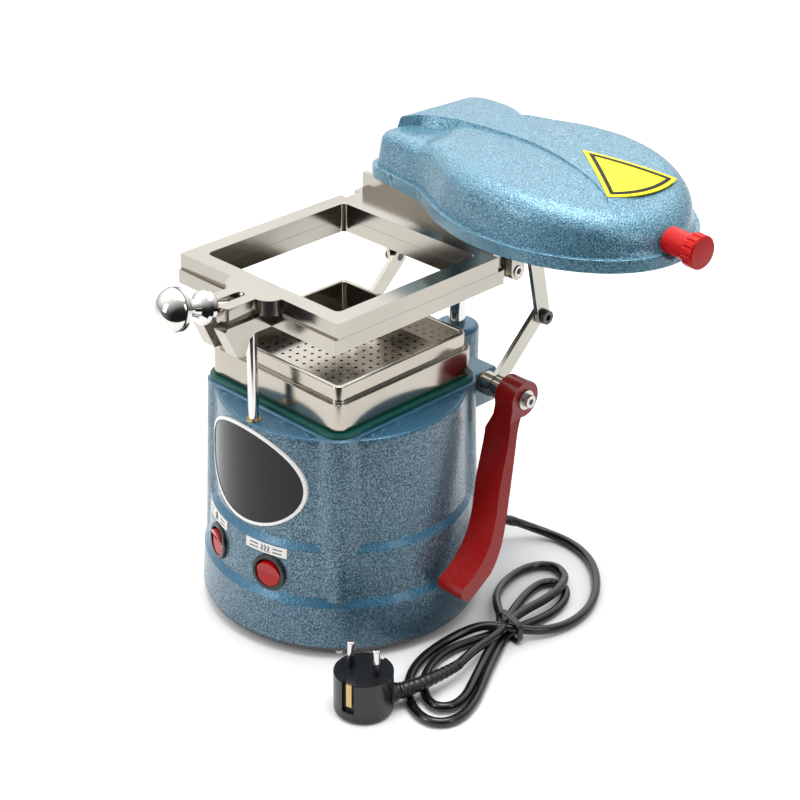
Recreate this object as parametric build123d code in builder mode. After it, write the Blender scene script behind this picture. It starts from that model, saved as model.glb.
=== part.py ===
"""Dental vacuum former: cast body with a vacuum motor, a tray, two sheet frames on a sliding carriage
driven by a hand lever, and a heater head that swings about the rear post.

X is the operator's right, Y points to the rear and Z up. The origin is on the table, on the body's axis.
The frames are raised and the head is swung to the right. Millimetres.
"""

from math import atan2, cos, degrees, hypot, pi, radians, sin, tan

from build123d import *
import os

os.makedirs("parts", exist_ok=True)

# ---- driving dimensions ----------------------------------------------------------------------------
FIT = 0.05                       # radial running clearance

SHEET_HALF = 62.5                # half of the clear square in both frames, for 130 mm forming sheets
FRAME_HALF = 75.0                # half of the frames' outside
FRAME_REAR = 92.0
FRAME_FRONT = -74.5
UPPER_Z0, UPPER_Z1 = 242.3, 253.0
LOWER_Z0, LOWER_Z1 = 232.3, 242.2

FOOT_Z = 5.0                     # rubber feet below the base plate
FOOT_RADIUS = 76.0
FOOT_HOLE_R = 2.25               # through each foot and the base plate, for a screw into the bench
BODY_Z = 9.0                     # underside of the casting
BODY_PROFILE = (                 # radius and height down the outside of the casting
    (98.5, BODY_Z), (97.0, 39), (93.5, 45), (91.0, 78), (87.8, 83), (85.5, 158), (84.0, 159.6), (67, 161),
)
CAVITY_PROFILE = ((91.5, BODY_Z), (91.5, 40), (86, 40), (86, 78), (81, 78), (81, 140), (62, 140), (62, 150))
DECK_Z = 163.0                   # square deck that carries the tray
DECK_HALF = 67.5
DECK_CORNER = 14.0
DECK_DRAFT = 1.6                 # degrees, the corner ribs widen downwards

TRAY_Z = (166.3, 186.4, 197.5)   # underside, shoulder and rim
TRAY_HALF = (63.1, 59.9)         # below and above the shoulder
PLATE_Z = 180.0                  # top of the perforated plate
HOLE_PITCH = 7.0
HOLES = 15

POST_Y = 113.5                   # rear post, axis of the carriage and of the head's swing
POST_R = 6.0
POST_Z = (100.0, 312.0)

SHAFT_Y, SHAFT_Z, SHAFT_R = 79.5, 152.5, 4.5
ELBOW_Y, ELBOW_Z = 122.5, 192.5  # crank pin with the frames raised
TOP_Y, TOP_Z = 110.0, 246.0      # upper pin of the side links
LINK_W = 12.0
CRANK_X = (66.0, 69.5)
LINK_X = (69.8, 73.3)

HINGE_Y, HINGE_Z = 91.0, 237.0   # hinge of the upper frame
PIN_Y, PIN_Z = -92.0, 246.5      # cross pin of the clamp bolt
BOLT_TILT = 14.9                 # rise of the clamp bolt towards the operator
BALL_D, BALL_R = 48.0, 14.8      # the clamp's ball: distance from the pin, and radius
KNOB_Z = 295.0                   # the head's knob
KNOB_CAP_R = 11.1
KNOB_SEAT_R = 11.5
ROD_Y, ROD_R = -79.5, 3.5        # front guide rod

HEAD_YAW = -5.0                  # heading of the head from +X
HEAD_Z = (279.0, 288.0)          # underside and top of the head's rim
HEAD_SIDE = (                    # half outline of the rim, along and across the head
    (-26, 53), (0, 54.2), (20, 56.3), (34, 61.7), (53, 69.8), (67, 73.5), (85, 76.7),
)
HEAD_REAR = -41.0
HEAD_NOSE = (95.0, 103.0, 77.0)  # centre and semi-axes of the elliptical nose
CROWN = ((-60, 312), (-41, 314.5), (0, 318), (60, 320.5), (110, 320), (150, 316), (180, 309), (215, 296))
HEATER_U = 98.0                  # heater's centre along the head

SWITCH_Z = 57.0
SWITCHES = {"right": -75.5, "left": -109.1}      # azimuth of each switch on the body
LABELS = {"right": -77.6, "left": -112.0}
BAND_LEAN = 4.3                  # degrees the switch band leans back
ROCKER_TILT = 9.0                # degrees each rocker stands off, top out

CORD_R = 3.2
TIE = (131.0, 28.0)


def save(name, builder):
    """Labels a finished piece and writes its STEP file."""
    builder.part.label = name
    export_step(builder.part, f"parts/{name}.step")


def wall_plane(azimuth, radius, z, lean=0.0):
    """Plane on the body's wall, facing out, with its Y axis up."""
    a, t = radians(azimuth), radians(lean)
    normal = (cos(a) * cos(t), sin(a) * cos(t), sin(t))
    return Plane(origin=(radius * cos(a), radius * sin(a), z), x_dir=(-sin(a), cos(a), 0), z_dir=normal)


def side_plane(x):
    """Plane across the machine at x, with Y to the right and Z up."""
    return Plane.YZ.offset(x)


def head_plane(z):
    """Horizontal plane on the head's swing axis, with its X axis along the head."""
    a = radians(HEAD_YAW)
    return Plane(origin=(0, POST_Y, z), x_dir=(cos(a), sin(a), 0), z_dir=(0, 0, 1))


def head_side_plane(v=0.0):
    """Vertical plane along the head, v to its left, with Z up."""
    a = radians(HEAD_YAW)
    origin = (-v * sin(a), POST_Y + v * cos(a), 0)
    return Plane(origin=origin, x_dir=(cos(a), sin(a), 0), z_dir=(sin(a), -cos(a), 0))


def knob_plane(u, z=KNOB_Z):
    """Plane across the head at u, facing along the head."""
    a = radians(HEAD_YAW)
    origin = (u * cos(a), POST_Y + u * sin(a), z)
    return Plane(origin=origin, x_dir=(-sin(a), cos(a), 0), z_dir=(cos(a), sin(a), 0))


def square(half, corner):
    """Rounded square centred in the current sketch."""
    RectangleRounded(2 * half, 2 * half, corner)


def head_outline(inset=0.0):
    """Face of the head's plan outline in the current sketch, inset all round."""
    centre, along, across = HEAD_NOSE
    side = [(u, v - inset) for u, v in reversed(HEAD_SIDE)]
    rear = 15.0 - inset / 2
    square_end = HEAD_REAR + inset
    shoulder = side[-1][1]
    side[-1] = (square_end + rear, shoulder)
    with BuildLine() as outline:
        nose = EllipticalCenterArc((centre, 0), along - inset, across - inset, start_angle=-90, arc_size=180)
        left = Spline(nose @ 1, *side, tangents=[(-1, 0), (-1, 0)])
        right = Spline(nose @ 0, *[(u, -v) for u, v in side], tangents=[(-1, 0), (-1, 0)])
        corner = RadiusArc(left @ 1, (square_end, shoulder - rear), -rear)
        other = RadiusArc(right @ 1, (square_end, rear - shoulder), rear)
        Line(corner @ 1, other @ 1)
    make_face(outline.edges())


def crown_band(thickness, drop=0.0):
    """Face between the crown line and a line below it, in the head's side plane."""
    upper = [(u, z - drop) for u, z in CROWN]
    lower = [(u, z - thickness) for u, z in upper]
    with BuildLine() as band:
        top = Spline(*upper)
        bottom = Spline(*lower)
        Line(top @ 0, bottom @ 0)
        Line(top @ 1, bottom @ 1)
    make_face(band.edges())


def spine_outline():
    """Outline of the raised spine on the head: wide over the post, narrow in the middle, wide at the nose."""
    near = (
        (-44, -40), (-18, -31), (6, -16), (24, -6), (39, -2), (77, -1), (122, -9), (149, -18), (168, -29),
    )
    far = (
        (-44, 40), (-18, 31), (6, 16), (24, 9), (39, 8), (77, 13), (105, 28), (140, 38), (160, 40),
    )
    with BuildLine() as outline:
        right = Spline(*near)
        left = Spline(*far)
        Line(left @ 0, right @ 0)
        ThreePointArc(left @ 1, (180, 5), right @ 1)
    make_face(outline.edges())


def link_face(start, end, width):
    """Round-ended link between two points of the current sketch."""
    length = hypot(end[0] - start[0], end[1] - start[1])
    turn = degrees(atan2(end[1] - start[1], end[0] - start[0]))
    with Locations(Location(((start[0] + end[0]) / 2, (start[1] + end[1]) / 2, 0), (0, 0, turn))):
        SlotCenterToCenter(length, width)


# ---- body ------------------------------------------------------------------------------------------
with BuildPart() as body_casting:
    with BuildSketch(Plane.XZ):
        with BuildLine():
            Polyline((0, BODY_Z), *BODY_PROFILE, (0, 161), close=True)
        make_face()
    revolve(axis=Axis.Z)
    grown = DECK_HALF + (DECK_Z - BODY_Z) * tan(radians(DECK_DRAFT))
    with BuildSketch(Plane.XY.offset(BODY_Z)):
        square(grown, DECK_CORNER + grown - DECK_HALF)
    extrude(amount=DECK_Z - BODY_Z, taper=DECK_DRAFT)
    # shaft brackets and the post's tower on the rear
    with BuildSketch(Plane.XY.offset(134)):
        with Locations((44.5, 78), (-44.5, 78)):
            Rectangle(29, 28)
    extrude(amount=26)
    with BuildSketch(Plane.XY.offset(BODY_Z)):
        with Locations((0, 97)):
            Rectangle(28, 33)
    extrude(amount=136)
    with BuildSketch(Plane.XY.offset(BODY_Z)):
        with Locations((0, POST_Y)):
            Circle(16)
    extrude(amount=157)
    dome = body_casting.faces().filter_by(lambda f: abs(f.center().Z - 166) < 0.01).edges()
    fillet(dome, 5)
    # hollow inside, with a boss left for the front guide rod
    with BuildSketch(Plane.XZ):
        with BuildLine():
            cavity_foot = (CAVITY_PROFILE[0][0], BODY_Z - 1)
            Polyline((0, BODY_Z - 1), cavity_foot, *CAVITY_PROFILE[1:], (0, 150), close=True)
        make_face()
    revolve(axis=Axis.Z, mode=Mode.SUBTRACT)
    with BuildSketch(Plane.XY.offset(104)):
        with Locations((0, ROD_Y)):
            Circle(6.3)
    extrude(amount=40)
    # plenum under the tray and the air way into the motor
    with BuildSketch(Plane.XY.offset(155)):
        square(50, 8)
    extrude(amount=8, mode=Mode.SUBTRACT)
    with BuildSketch(Plane.XY.offset(149)):
        Circle(22)
    extrude(amount=8, mode=Mode.SUBTRACT)
    # channel for the through shaft, its bores, the guide-rod bore and the post bore
    with BuildSketch(Plane.XY.offset(145.5)):
        with Locations((0, 81)):
            Rectangle(68, 16)
    extrude(amount=20, mode=Mode.SUBTRACT)
    with BuildSketch(side_plane(-60)):
        with Locations((SHAFT_Y, SHAFT_Z)):
            Circle(SHAFT_R + 1.5)
    extrude(amount=120, mode=Mode.SUBTRACT)
    with BuildSketch(Plane.XY.offset(103)):
        with Locations((0, ROD_Y)):
            Circle(ROD_R + 1.5)
    extrude(amount=60, mode=Mode.SUBTRACT)
    with BuildSketch(Plane.XY.offset(POST_Z[0])):
        with Locations((0, POST_Y)):
            Circle(POST_R)
    extrude(amount=70, mode=Mode.SUBTRACT)
    # seats and holes of the switches, the cord gland's hole, and the screw holes round the foot
    for azimuth in SWITCHES.values():
        with BuildSketch(wall_plane(azimuth, 91.3, SWITCH_Z, BAND_LEAN)):
            Circle(13.4)
        extrude(amount=8, mode=Mode.SUBTRACT)
        with BuildSketch(wall_plane(azimuth, 91.3, SWITCH_Z, BAND_LEAN)):
            Circle(11.4)
        extrude(amount=-14, mode=Mode.SUBTRACT)
    with BuildSketch(wall_plane(69.8, 80, 20)):
        Circle(5)
    extrude(amount=25, mode=Mode.SUBTRACT)
    with BuildSketch(Plane.XY.offset(BODY_Z)):
        with PolarLocations(93.4, 4, start_angle=45):
            Circle(1.75)
    extrude(amount=9, mode=Mode.SUBTRACT)
    with BuildSketch(Plane.XY.offset(140)):
        with PolarLocations(71, 4, start_angle=45):
            Circle(2)
    extrude(amount=9, mode=Mode.SUBTRACT)
save("body_casting", body_casting)

with BuildPart() as base_plate:
    with BuildSketch(Plane.XY.offset(FOOT_Z)):
        Circle(97)
        with PolarLocations(93.4, 4, start_angle=45):
            Circle(1.75, mode=Mode.SUBTRACT)
        with PolarLocations(FOOT_RADIUS, 4, start_angle=45):
            Circle(FOOT_HOLE_R, mode=Mode.SUBTRACT)
        with PolarLocations(20, 6):
            SlotCenterToCenter(16, 4, mode=Mode.SUBTRACT)
    extrude(amount=BODY_Z - FOOT_Z)
    fillet(base_plate.faces().sort_by(Axis.Z)[0].outer_wire().edges(), 1.5)
save("base_plate", base_plate)

with BuildPart() as base_screws:
    with BuildSketch(Plane.XY.offset(FOOT_Z - 2)):
        with PolarLocations(93.4, 4, start_angle=45):
            Circle(3)
            RegularPolygon(1.2, 6, mode=Mode.SUBTRACT)
    extrude(amount=1)
    with BuildSketch(Plane.XY.offset(FOOT_Z - 1)):
        with PolarLocations(93.4, 4, start_angle=45):
            Circle(3)
    extrude(amount=1)
    with BuildSketch(Plane.XY.offset(FOOT_Z)):
        with PolarLocations(93.4, 4, start_angle=45):
            Circle(1.75)
    extrude(amount=12)
save("base_screws", base_screws)

with BuildPart() as rubber_feet:
    with BuildSketch():
        with PolarLocations(FOOT_RADIUS, 4, start_angle=45):
            Circle(10)
    extrude(amount=FOOT_Z)
    fillet(rubber_feet.faces().sort_by(Axis.Z)[:4].edges(), 1.2)
    with BuildSketch():
        with PolarLocations(FOOT_RADIUS, 4, start_angle=45):
            Circle(FOOT_HOLE_R)
    extrude(amount=FOOT_Z, mode=Mode.SUBTRACT)
save("rubber_feet", rubber_feet)

# ---- vacuum motor inside the body ------------------------------------------------------------------
with BuildPart() as motor_shroud:
    with BuildSketch(Plane.XZ):
        with BuildLine():
            Polyline(
                (22, 150), (26, 150), (26, 147), (58, 147), (58, 140), (77, 140), (77, 138), (59, 138),
                (59, 119), (10, 119), (10, 120.5), (57, 120.5), (57, 138), (56.5, 138), (56.5, 145.5),
                (22, 145.5), close=True,
            )
        make_face()
    revolve(axis=Axis.Z)
    with BuildSketch(Plane.XY.offset(137)):
        with PolarLocations(71, 4, start_angle=45):
            Circle(2)
        with Locations((0, ROD_Y)):
            Circle(8)
    extrude(amount=4, mode=Mode.SUBTRACT)
save("motor_shroud", motor_shroud)

with BuildPart() as motor_screws:
    with BuildSketch(Plane.XY.offset(135)):
        with PolarLocations(71, 4, start_angle=45):
            Circle(3.5)
    extrude(amount=3)
    with BuildSketch(Plane.XY.offset(138)):
        with PolarLocations(71, 4, start_angle=45):
            Circle(2)
    extrude(amount=10)
save("motor_screws", motor_screws)

with BuildPart() as motor_housing:
    with BuildSketch(Plane.XZ):
        with BuildLine():
            Polyline(
                (4 + FIT, 119), (40, 119), (40, 56), (4 + FIT, 56), (4 + FIT, 64), (10, 64), (10, 59),
                (37, 59), (37, 116), (10, 116), (10, 111), (4 + FIT, 111), close=True,
            )
        make_face()
    revolve(axis=Axis.Z)
    with BuildSketch(Plane.XY.offset(70)):
        with PolarLocations(38, 8):
            Rectangle(10, 10)
    extrude(amount=34, mode=Mode.SUBTRACT)
save("motor_housing", motor_housing)

with BuildPart() as motor_armature:
    with BuildSketch(Plane.XY.offset(52)):
        Circle(4)
    extrude(amount=88)
    with BuildSketch(Plane.XY.offset(72)):
        Circle(27)
        with PolarLocations(26, 12):
            Rectangle(6, 2.5, mode=Mode.SUBTRACT)
    extrude(amount=30)
    with BuildSketch(Plane.XY.offset(104)):
        Circle(12)
    extrude(amount=5)
save("motor_armature", motor_armature)

with BuildPart() as impeller:
    with BuildSketch(Plane.XY.offset(124)):
        Circle(52)
        Circle(4, mode=Mode.SUBTRACT)
    extrude(amount=1.2)
    with BuildSketch(Plane.XY.offset(125.2)):
        with PolarLocations(35, 9):
            with Locations(Location((0, 0, 0), (0, 0, 35))):
                Rectangle(30, 1.4)
        Circle(9)
        Circle(4, mode=Mode.SUBTRACT)
    extrude(amount=12)
    with BuildSketch(Plane.XY.offset(137.2)):
        Circle(52)
        Circle(20, mode=Mode.SUBTRACT)
    extrude(amount=1.2)
save("impeller", impeller)

# ---- tray ------------------------------------------------------------------------------------------
with BuildPart() as tray_gasket:
    with BuildSketch(Plane.XY.offset(DECK_Z)):
        square(DECK_HALF - 0.5, DECK_CORNER)
        RectangleRounded(104, 104, 8, mode=Mode.SUBTRACT)
    extrude(amount=TRAY_Z[0] - DECK_Z)
save("tray_gasket", tray_gasket)

with BuildPart() as vacuum_tray:
    with BuildSketch(Plane.XY.offset(TRAY_Z[0])):
        square(TRAY_HALF[0], 8)
    extrude(amount=TRAY_Z[1] - TRAY_Z[0])
    fillet(vacuum_tray.faces().sort_by(Axis.Z)[0].edges(), 1.5)
    with BuildSketch(Plane.XY.offset(TRAY_Z[1])):
        square(TRAY_HALF[1], 6)
    extrude(amount=TRAY_Z[2] - TRAY_Z[1])
    with BuildSketch(Plane.XY.offset(PLATE_Z - 2)):
        square(56.5, 3)
    extrude(amount=40, mode=Mode.SUBTRACT)
    with BuildSketch(Plane.XY.offset(170)):
        square(53, 4)
    extrude(amount=20, mode=Mode.SUBTRACT)
    with BuildSketch(Plane.XY.offset(160)):
        Circle(20)
    extrude(amount=20, mode=Mode.SUBTRACT)
    with BuildSketch(Plane.XY.offset(170)):
        with Locations((0, 27), (0, -27)):
            Circle(5)
    extrude(amount=PLATE_Z - 2 - 170)
    fillet(vacuum_tray.faces().sort_by(Axis.Z)[-1].edges(), 0.8)
save("vacuum_tray", vacuum_tray)

with BuildPart() as perforated_plate:
    with BuildSketch(Plane.XY.offset(PLATE_Z - 2)):
        square(56.5, 3)
        with GridLocations(HOLE_PITCH, HOLE_PITCH, HOLES, HOLES):
            Circle(1.2, mode=Mode.SUBTRACT)
    extrude(amount=2)
save("perforated_plate", perforated_plate)

# ---- badge, labels and switches --------------------------------------------------------------------
BADGE_Z = 121.6
BADGE_TURN = -2.2
BADGE_SIZE = (48.5, 35.7)


def badge_wall(z):
    """Radius of the badge band's wall at height z."""
    (r0, z0), (r1, z1) = BODY_PROFILE[4], BODY_PROFILE[5]
    return r0 + (r1 - r0) * (z - z0) / (z1 - z0)


def badge_ring(thickness):
    """Thin ring of wall section over the badge's height, in the XZ plane."""
    with BuildLine() as section:
        Polyline(
            (badge_wall(84), 84), (badge_wall(84) + thickness, 84), (badge_wall(157.9) + thickness, 157.9),
            (badge_wall(157.9), 157.9), close=True,
        )
    make_face(section.edges())


badge_plane = wall_plane(-90 + BADGE_TURN, 50, BADGE_Z)

with BuildPart() as badge_plate:
    with BuildSketch(Plane.XZ):
        badge_ring(0.8)
    revolve(axis=Axis.Z)
    with BuildSketch(badge_plane):
        Ellipse(BADGE_SIZE[0] - 2, BADGE_SIZE[1] - 2)
    extrude(amount=60, mode=Mode.INTERSECT)
save("badge_plate", badge_plate)

with BuildPart() as badge_rim:
    with BuildSketch(Plane.XZ):
        badge_ring(1.3)
    revolve(axis=Axis.Z)
    with BuildSketch(badge_plane):
        Ellipse(*BADGE_SIZE)
        Ellipse(BADGE_SIZE[0] - 2, BADGE_SIZE[1] - 2, mode=Mode.SUBTRACT)
    extrude(amount=60, mode=Mode.INTERSECT)
save("badge_rim", badge_rim)


def band_wall(z):
    """Radius of the switch band's wall at height z."""
    (r0, z0), (r1, z1) = BODY_PROFILE[2], BODY_PROFILE[3]
    return r0 + (r1 - r0) * (z - z0) / (z1 - z0)


for side, azimuth in LABELS.items():
    with BuildPart() as switch_label:
        with BuildSketch(Plane.XZ):
            with BuildLine():
                Polyline(
                    (band_wall(70.6), 70.6), (band_wall(70.6) + 0.6, 70.6), (band_wall(77.6) + 0.6, 77.6),
                    (band_wall(77.6), 77.6), close=True,
                )
            make_face()
        revolve(axis=Axis.Z)
        with BuildSketch(wall_plane(azimuth, 50, 74)):
            Rectangle(33, 30)
        extrude(amount=60, mode=Mode.INTERSECT)
    save(f"switch_label_{side}", switch_label)

for side, azimuth in SWITCHES.items():
    seat = wall_plane(azimuth, 91.3, SWITCH_Z, BAND_LEAN)
    with BuildPart() as switch_bezel:
        with BuildSketch(seat):
            Circle(13)
        extrude(amount=3.2)
        fillet(switch_bezel.edges().filter_by(GeomType.CIRCLE).sort_by(lambda e: -e.center().length)[0], 1.2)
        with BuildSketch(seat):
            Circle(11.4)
        extrude(amount=-18)
        with BuildSketch(seat.offset(4)):
            Circle(10.1)
        extrude(amount=-18, mode=Mode.SUBTRACT)
        hinge_line = Plane(origin=seat.offset(-2).origin, x_dir=seat.y_dir, z_dir=seat.x_dir)
        with BuildSketch(hinge_line.offset(-11)):
            Circle(1.2 + FIT)
        extrude(amount=22, mode=Mode.SUBTRACT)
    save(f"switch_bezel_{side}", switch_bezel)
    face_normal = seat.z_dir * cos(radians(ROCKER_TILT)) - seat.y_dir * sin(radians(ROCKER_TILT))
    across = Plane(origin=seat.offset(-2).origin, x_dir=face_normal, z_dir=seat.x_dir)
    with BuildPart() as switch_rocker:
        with BuildSketch(across.offset(-10)):
            with BuildLine():
                Polyline((-4, -9.1), (6.2, -9.1), (4.4, 0), (6.2, 9.1), (-4, 9.1), close=True)
            make_face()
        extrude(amount=20)
        with BuildSketch(Plane(origin=across.origin, x_dir=across.z_dir, z_dir=across.x_dir).offset(-8)):
            Circle(9.1)
        extrude(amount=20, mode=Mode.INTERSECT)
        with BuildSketch(across.offset(-10.9)):
            Circle(1.2)
        extrude(amount=21.8)
    save(f"switch_rocker_{side}", switch_rocker)

# ---- lever shaft, cranks, links and handle ---------------------------------------------------------
with BuildPart() as shaft_bushes:
    for x in (34, -59):
        with BuildSketch(side_plane(x)):
            with Locations((SHAFT_Y, SHAFT_Z)):
                Circle(SHAFT_R + 1.5)
                Circle(SHAFT_R + FIT, mode=Mode.SUBTRACT)
        extrude(amount=25)
    for x in (59, -60.5):
        with BuildSketch(side_plane(x)):
            with Locations((SHAFT_Y, SHAFT_Z)):
                Circle(7.5)
                Circle(SHAFT_R + FIT, mode=Mode.SUBTRACT)
        extrude(amount=1.5)
save("shaft_bushes", shaft_bushes)

with BuildPart() as lever_shaft:
    with BuildSketch(side_plane(-72)):
        with Locations((SHAFT_Y, SHAFT_Z)):
            Circle(SHAFT_R)
    extrude(amount=168)
    chamfer(lever_shaft.edges().filter_by(GeomType.CIRCLE), 0.6)
save("lever_shaft", lever_shaft)

for side, sign in (("right", 1), ("left", -1)):
    with BuildPart() as crank:
        with BuildSketch(side_plane(sign * CRANK_X[0])):
            link_face((SHAFT_Y, SHAFT_Z), (ELBOW_Y, ELBOW_Z), LINK_W)
            with Locations((SHAFT_Y, SHAFT_Z)):
                Circle(8.5)
                Circle(SHAFT_R, mode=Mode.SUBTRACT)
            with Locations((ELBOW_Y, ELBOW_Z)):
                Circle(3, mode=Mode.SUBTRACT)
        extrude(amount=sign * (CRANK_X[1] - CRANK_X[0]))
        with BuildSketch(side_plane(sign * 61)):
            with Locations((SHAFT_Y, SHAFT_Z)):
                Circle(8.5)
                Circle(SHAFT_R, mode=Mode.SUBTRACT)
        extrude(amount=sign * (CRANK_X[0] - 61))
    save(f"crank_{side}", crank)
    with BuildPart() as upper_link:
        with BuildSketch(side_plane(sign * LINK_X[0])):
            link_face((ELBOW_Y, ELBOW_Z), (TOP_Y, TOP_Z), LINK_W)
            with Locations((ELBOW_Y, ELBOW_Z)):
                Circle(3 + FIT, mode=Mode.SUBTRACT)
            with Locations((TOP_Y, TOP_Z)):
                Circle(2.5, mode=Mode.SUBTRACT)
        extrude(amount=sign * (LINK_X[1] - LINK_X[0]))
    save(f"upper_link_{side}", upper_link)

with BuildPart() as elbow_pins:
    for sign in (1, -1):
        with BuildSketch(side_plane(sign * CRANK_X[0])):
            with Locations((ELBOW_Y, ELBOW_Z)):
                Circle(3)
        extrude(amount=sign * (LINK_X[1] + 0.2 - CRANK_X[0]))
        with BuildSketch(side_plane(sign * (LINK_X[1] + 0.2))):
            with Locations((ELBOW_Y, ELBOW_Z)):
                Circle(5)
        extrude(amount=sign * 3.4)
        with BuildSketch(side_plane(sign * (LINK_X[1] + 3.6))):
            with Locations((ELBOW_Y, ELBOW_Z)):
                RegularPolygon(2.5, 6)
        extrude(amount=sign * -2, mode=Mode.SUBTRACT)
save("elbow_pins", elbow_pins)

with BuildPart() as top_pins:
    for sign in (1, -1):
        with BuildSketch(side_plane(sign * 56)):
            with Locations((TOP_Y, TOP_Z)):
                Circle(2.5)
        extrude(amount=sign * (LINK_X[1] - 56))
        with BuildSketch(side_plane(sign * LINK_X[1])):
            with Locations((TOP_Y, TOP_Z)):
                Circle(4.5)
        extrude(amount=sign * 2)
save("top_pins", top_pins)

with BuildPart() as lever_collar:
    with BuildSketch(side_plane(CRANK_X[1])):
        with Locations((SHAFT_Y, SHAFT_Z)):
            Circle(8)
            Circle(SHAFT_R, mode=Mode.SUBTRACT)
    extrude(amount=80 - CRANK_X[1])
    chamfer(lever_collar.edges().filter_by(GeomType.CIRCLE).group_by(SortBy.RADIUS)[-1], 0.8)
save("lever_collar", lever_collar)

LEVER_REAR = ((84, 146), (75.9, 139.7), (65.2, 121.4), (53.3, 97.7), (42.6, 77.2), (33.5, 63.3), (20, 51.1))
LEVER_FRONT = ((67.2, 150), (61.1, 130), (43.7, 101.4), (34.8, 83.6), (24, 69), (14, 61), (4.5, 55.6))

with BuildPart() as handle_lever:
    with BuildSketch(side_plane(70)):
        with BuildLine():
            rear = Spline(*LEVER_REAR, (5.6, 42.2))
            tip = ThreePointArc(rear @ 1, (-6.6, 43.6), (-6.6, 51.2))
            front = Spline(*LEVER_FRONT, tip @ 1)
            Line(front @ 0, rear @ 0)
        make_face()
    extrude(amount=56)
    with BuildSketch(Plane.XZ.offset(-100)):
        with BuildLine():
            Polyline(
                (80, 170), (80, 141), (76.7, 131), (100.5, 52), (100.5, 30), (122.5, 30), (122.5, 52),
                (96, 140), (96, 170), close=True,
            )
        make_face()
    extrude(amount=120, mode=Mode.INTERSECT)
    with BuildSketch(side_plane(80)):
        with Locations((SHAFT_Y, SHAFT_Z)):
            Circle(13)
    extrude(amount=16)
    with BuildSketch(side_plane(79)):
        with Locations((SHAFT_Y, SHAFT_Z)):
            Circle(SHAFT_R)
    extrude(amount=20, mode=Mode.SUBTRACT)
save("handle_lever", handle_lever)

with BuildPart() as lever_screw:
    with BuildSketch(side_plane(96)):
        with Locations((SHAFT_Y, SHAFT_Z)):
            Circle(7)
    extrude(amount=1.4)
    with BuildSketch(side_plane(97.4)):
        with Locations((SHAFT_Y, SHAFT_Z)):
            Circle(4.5)
    extrude(amount=4)
    with BuildSketch(side_plane(101.4)):
        with Locations((SHAFT_Y, SHAFT_Z)):
            RegularPolygon(2.3, 6)
    extrude(amount=-2.4, mode=Mode.SUBTRACT)
save("lever_screw", lever_screw)

# ---- post, carriage and frames ---------------------------------------------------------------------
with BuildPart() as guide_post:
    with BuildSketch(Plane.XY.offset(POST_Z[0])):
        with Locations((0, POST_Y)):
            Circle(POST_R)
    extrude(amount=POST_Z[1] - POST_Z[0])
    chamfer(guide_post.edges().sort_by(Axis.Z)[-1], 1)
save("guide_post", guide_post)

with BuildPart() as post_collar:
    with BuildSketch(Plane.XY.offset(270)):
        with Locations((0, POST_Y)):
            Circle(11)
            Circle(POST_R, mode=Mode.SUBTRACT)
    extrude(amount=HEAD_Z[0] - 270.3)
    with BuildSketch(Plane.YZ):
        with Locations((POST_Y, 274.3)):
            Circle(1.5)
    extrude(amount=14, mode=Mode.SUBTRACT)
save("post_collar", post_collar)

with BuildPart() as carriage:
    with BuildSketch(Plane.XY.offset(238)):
        with Locations((0, 112.5)):
            Rectangle(132, 17)
    extrude(amount=14)
    fillet(carriage.edges().filter_by(Axis.X).group_by(Axis.Z)[-1], 1.5)
    with BuildSketch(Plane.XY.offset(213)):
        with Locations((0, POST_Y)):
            Circle(10)
    extrude(amount=25)
    with BuildSketch(Plane.XY.offset(226)):
        with Locations((0, 103)):
            Rectangle(112, 18)
    extrude(amount=LOWER_Z0 - 226)
    with BuildSketch(Plane.XY.offset(LOWER_Z0)):
        with Locations((0, 108.5)):
            Rectangle(112, 7)
    extrude(amount=238 - LOWER_Z0)
    with BuildSketch(Plane.XY.offset(200)):
        with Locations((0, POST_Y)):
            Circle(7.5)
    extrude(amount=60, mode=Mode.SUBTRACT)
    for x in (50, -66):
        with BuildSketch(side_plane(x)):
            with Locations((TOP_Y + 1.7, TOP_Z + 0.9)):
                Circle(4.7)
        extrude(amount=16, mode=Mode.SUBTRACT)
    with BuildSketch(Plane.XY.offset(220)):
        with Locations((45, 98), (-45, 98)):
            Circle(2)
    extrude(amount=LOWER_Z0 - 220, mode=Mode.SUBTRACT)
save("carriage", carriage)

with BuildPart() as carriage_bush:
    with BuildSketch(Plane.XY.offset(213)):
        with Locations((0, POST_Y)):
            Circle(7.5)
            Circle(POST_R + FIT, mode=Mode.SUBTRACT)
    extrude(amount=39)
save("carriage_bush", carriage_bush)

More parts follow.
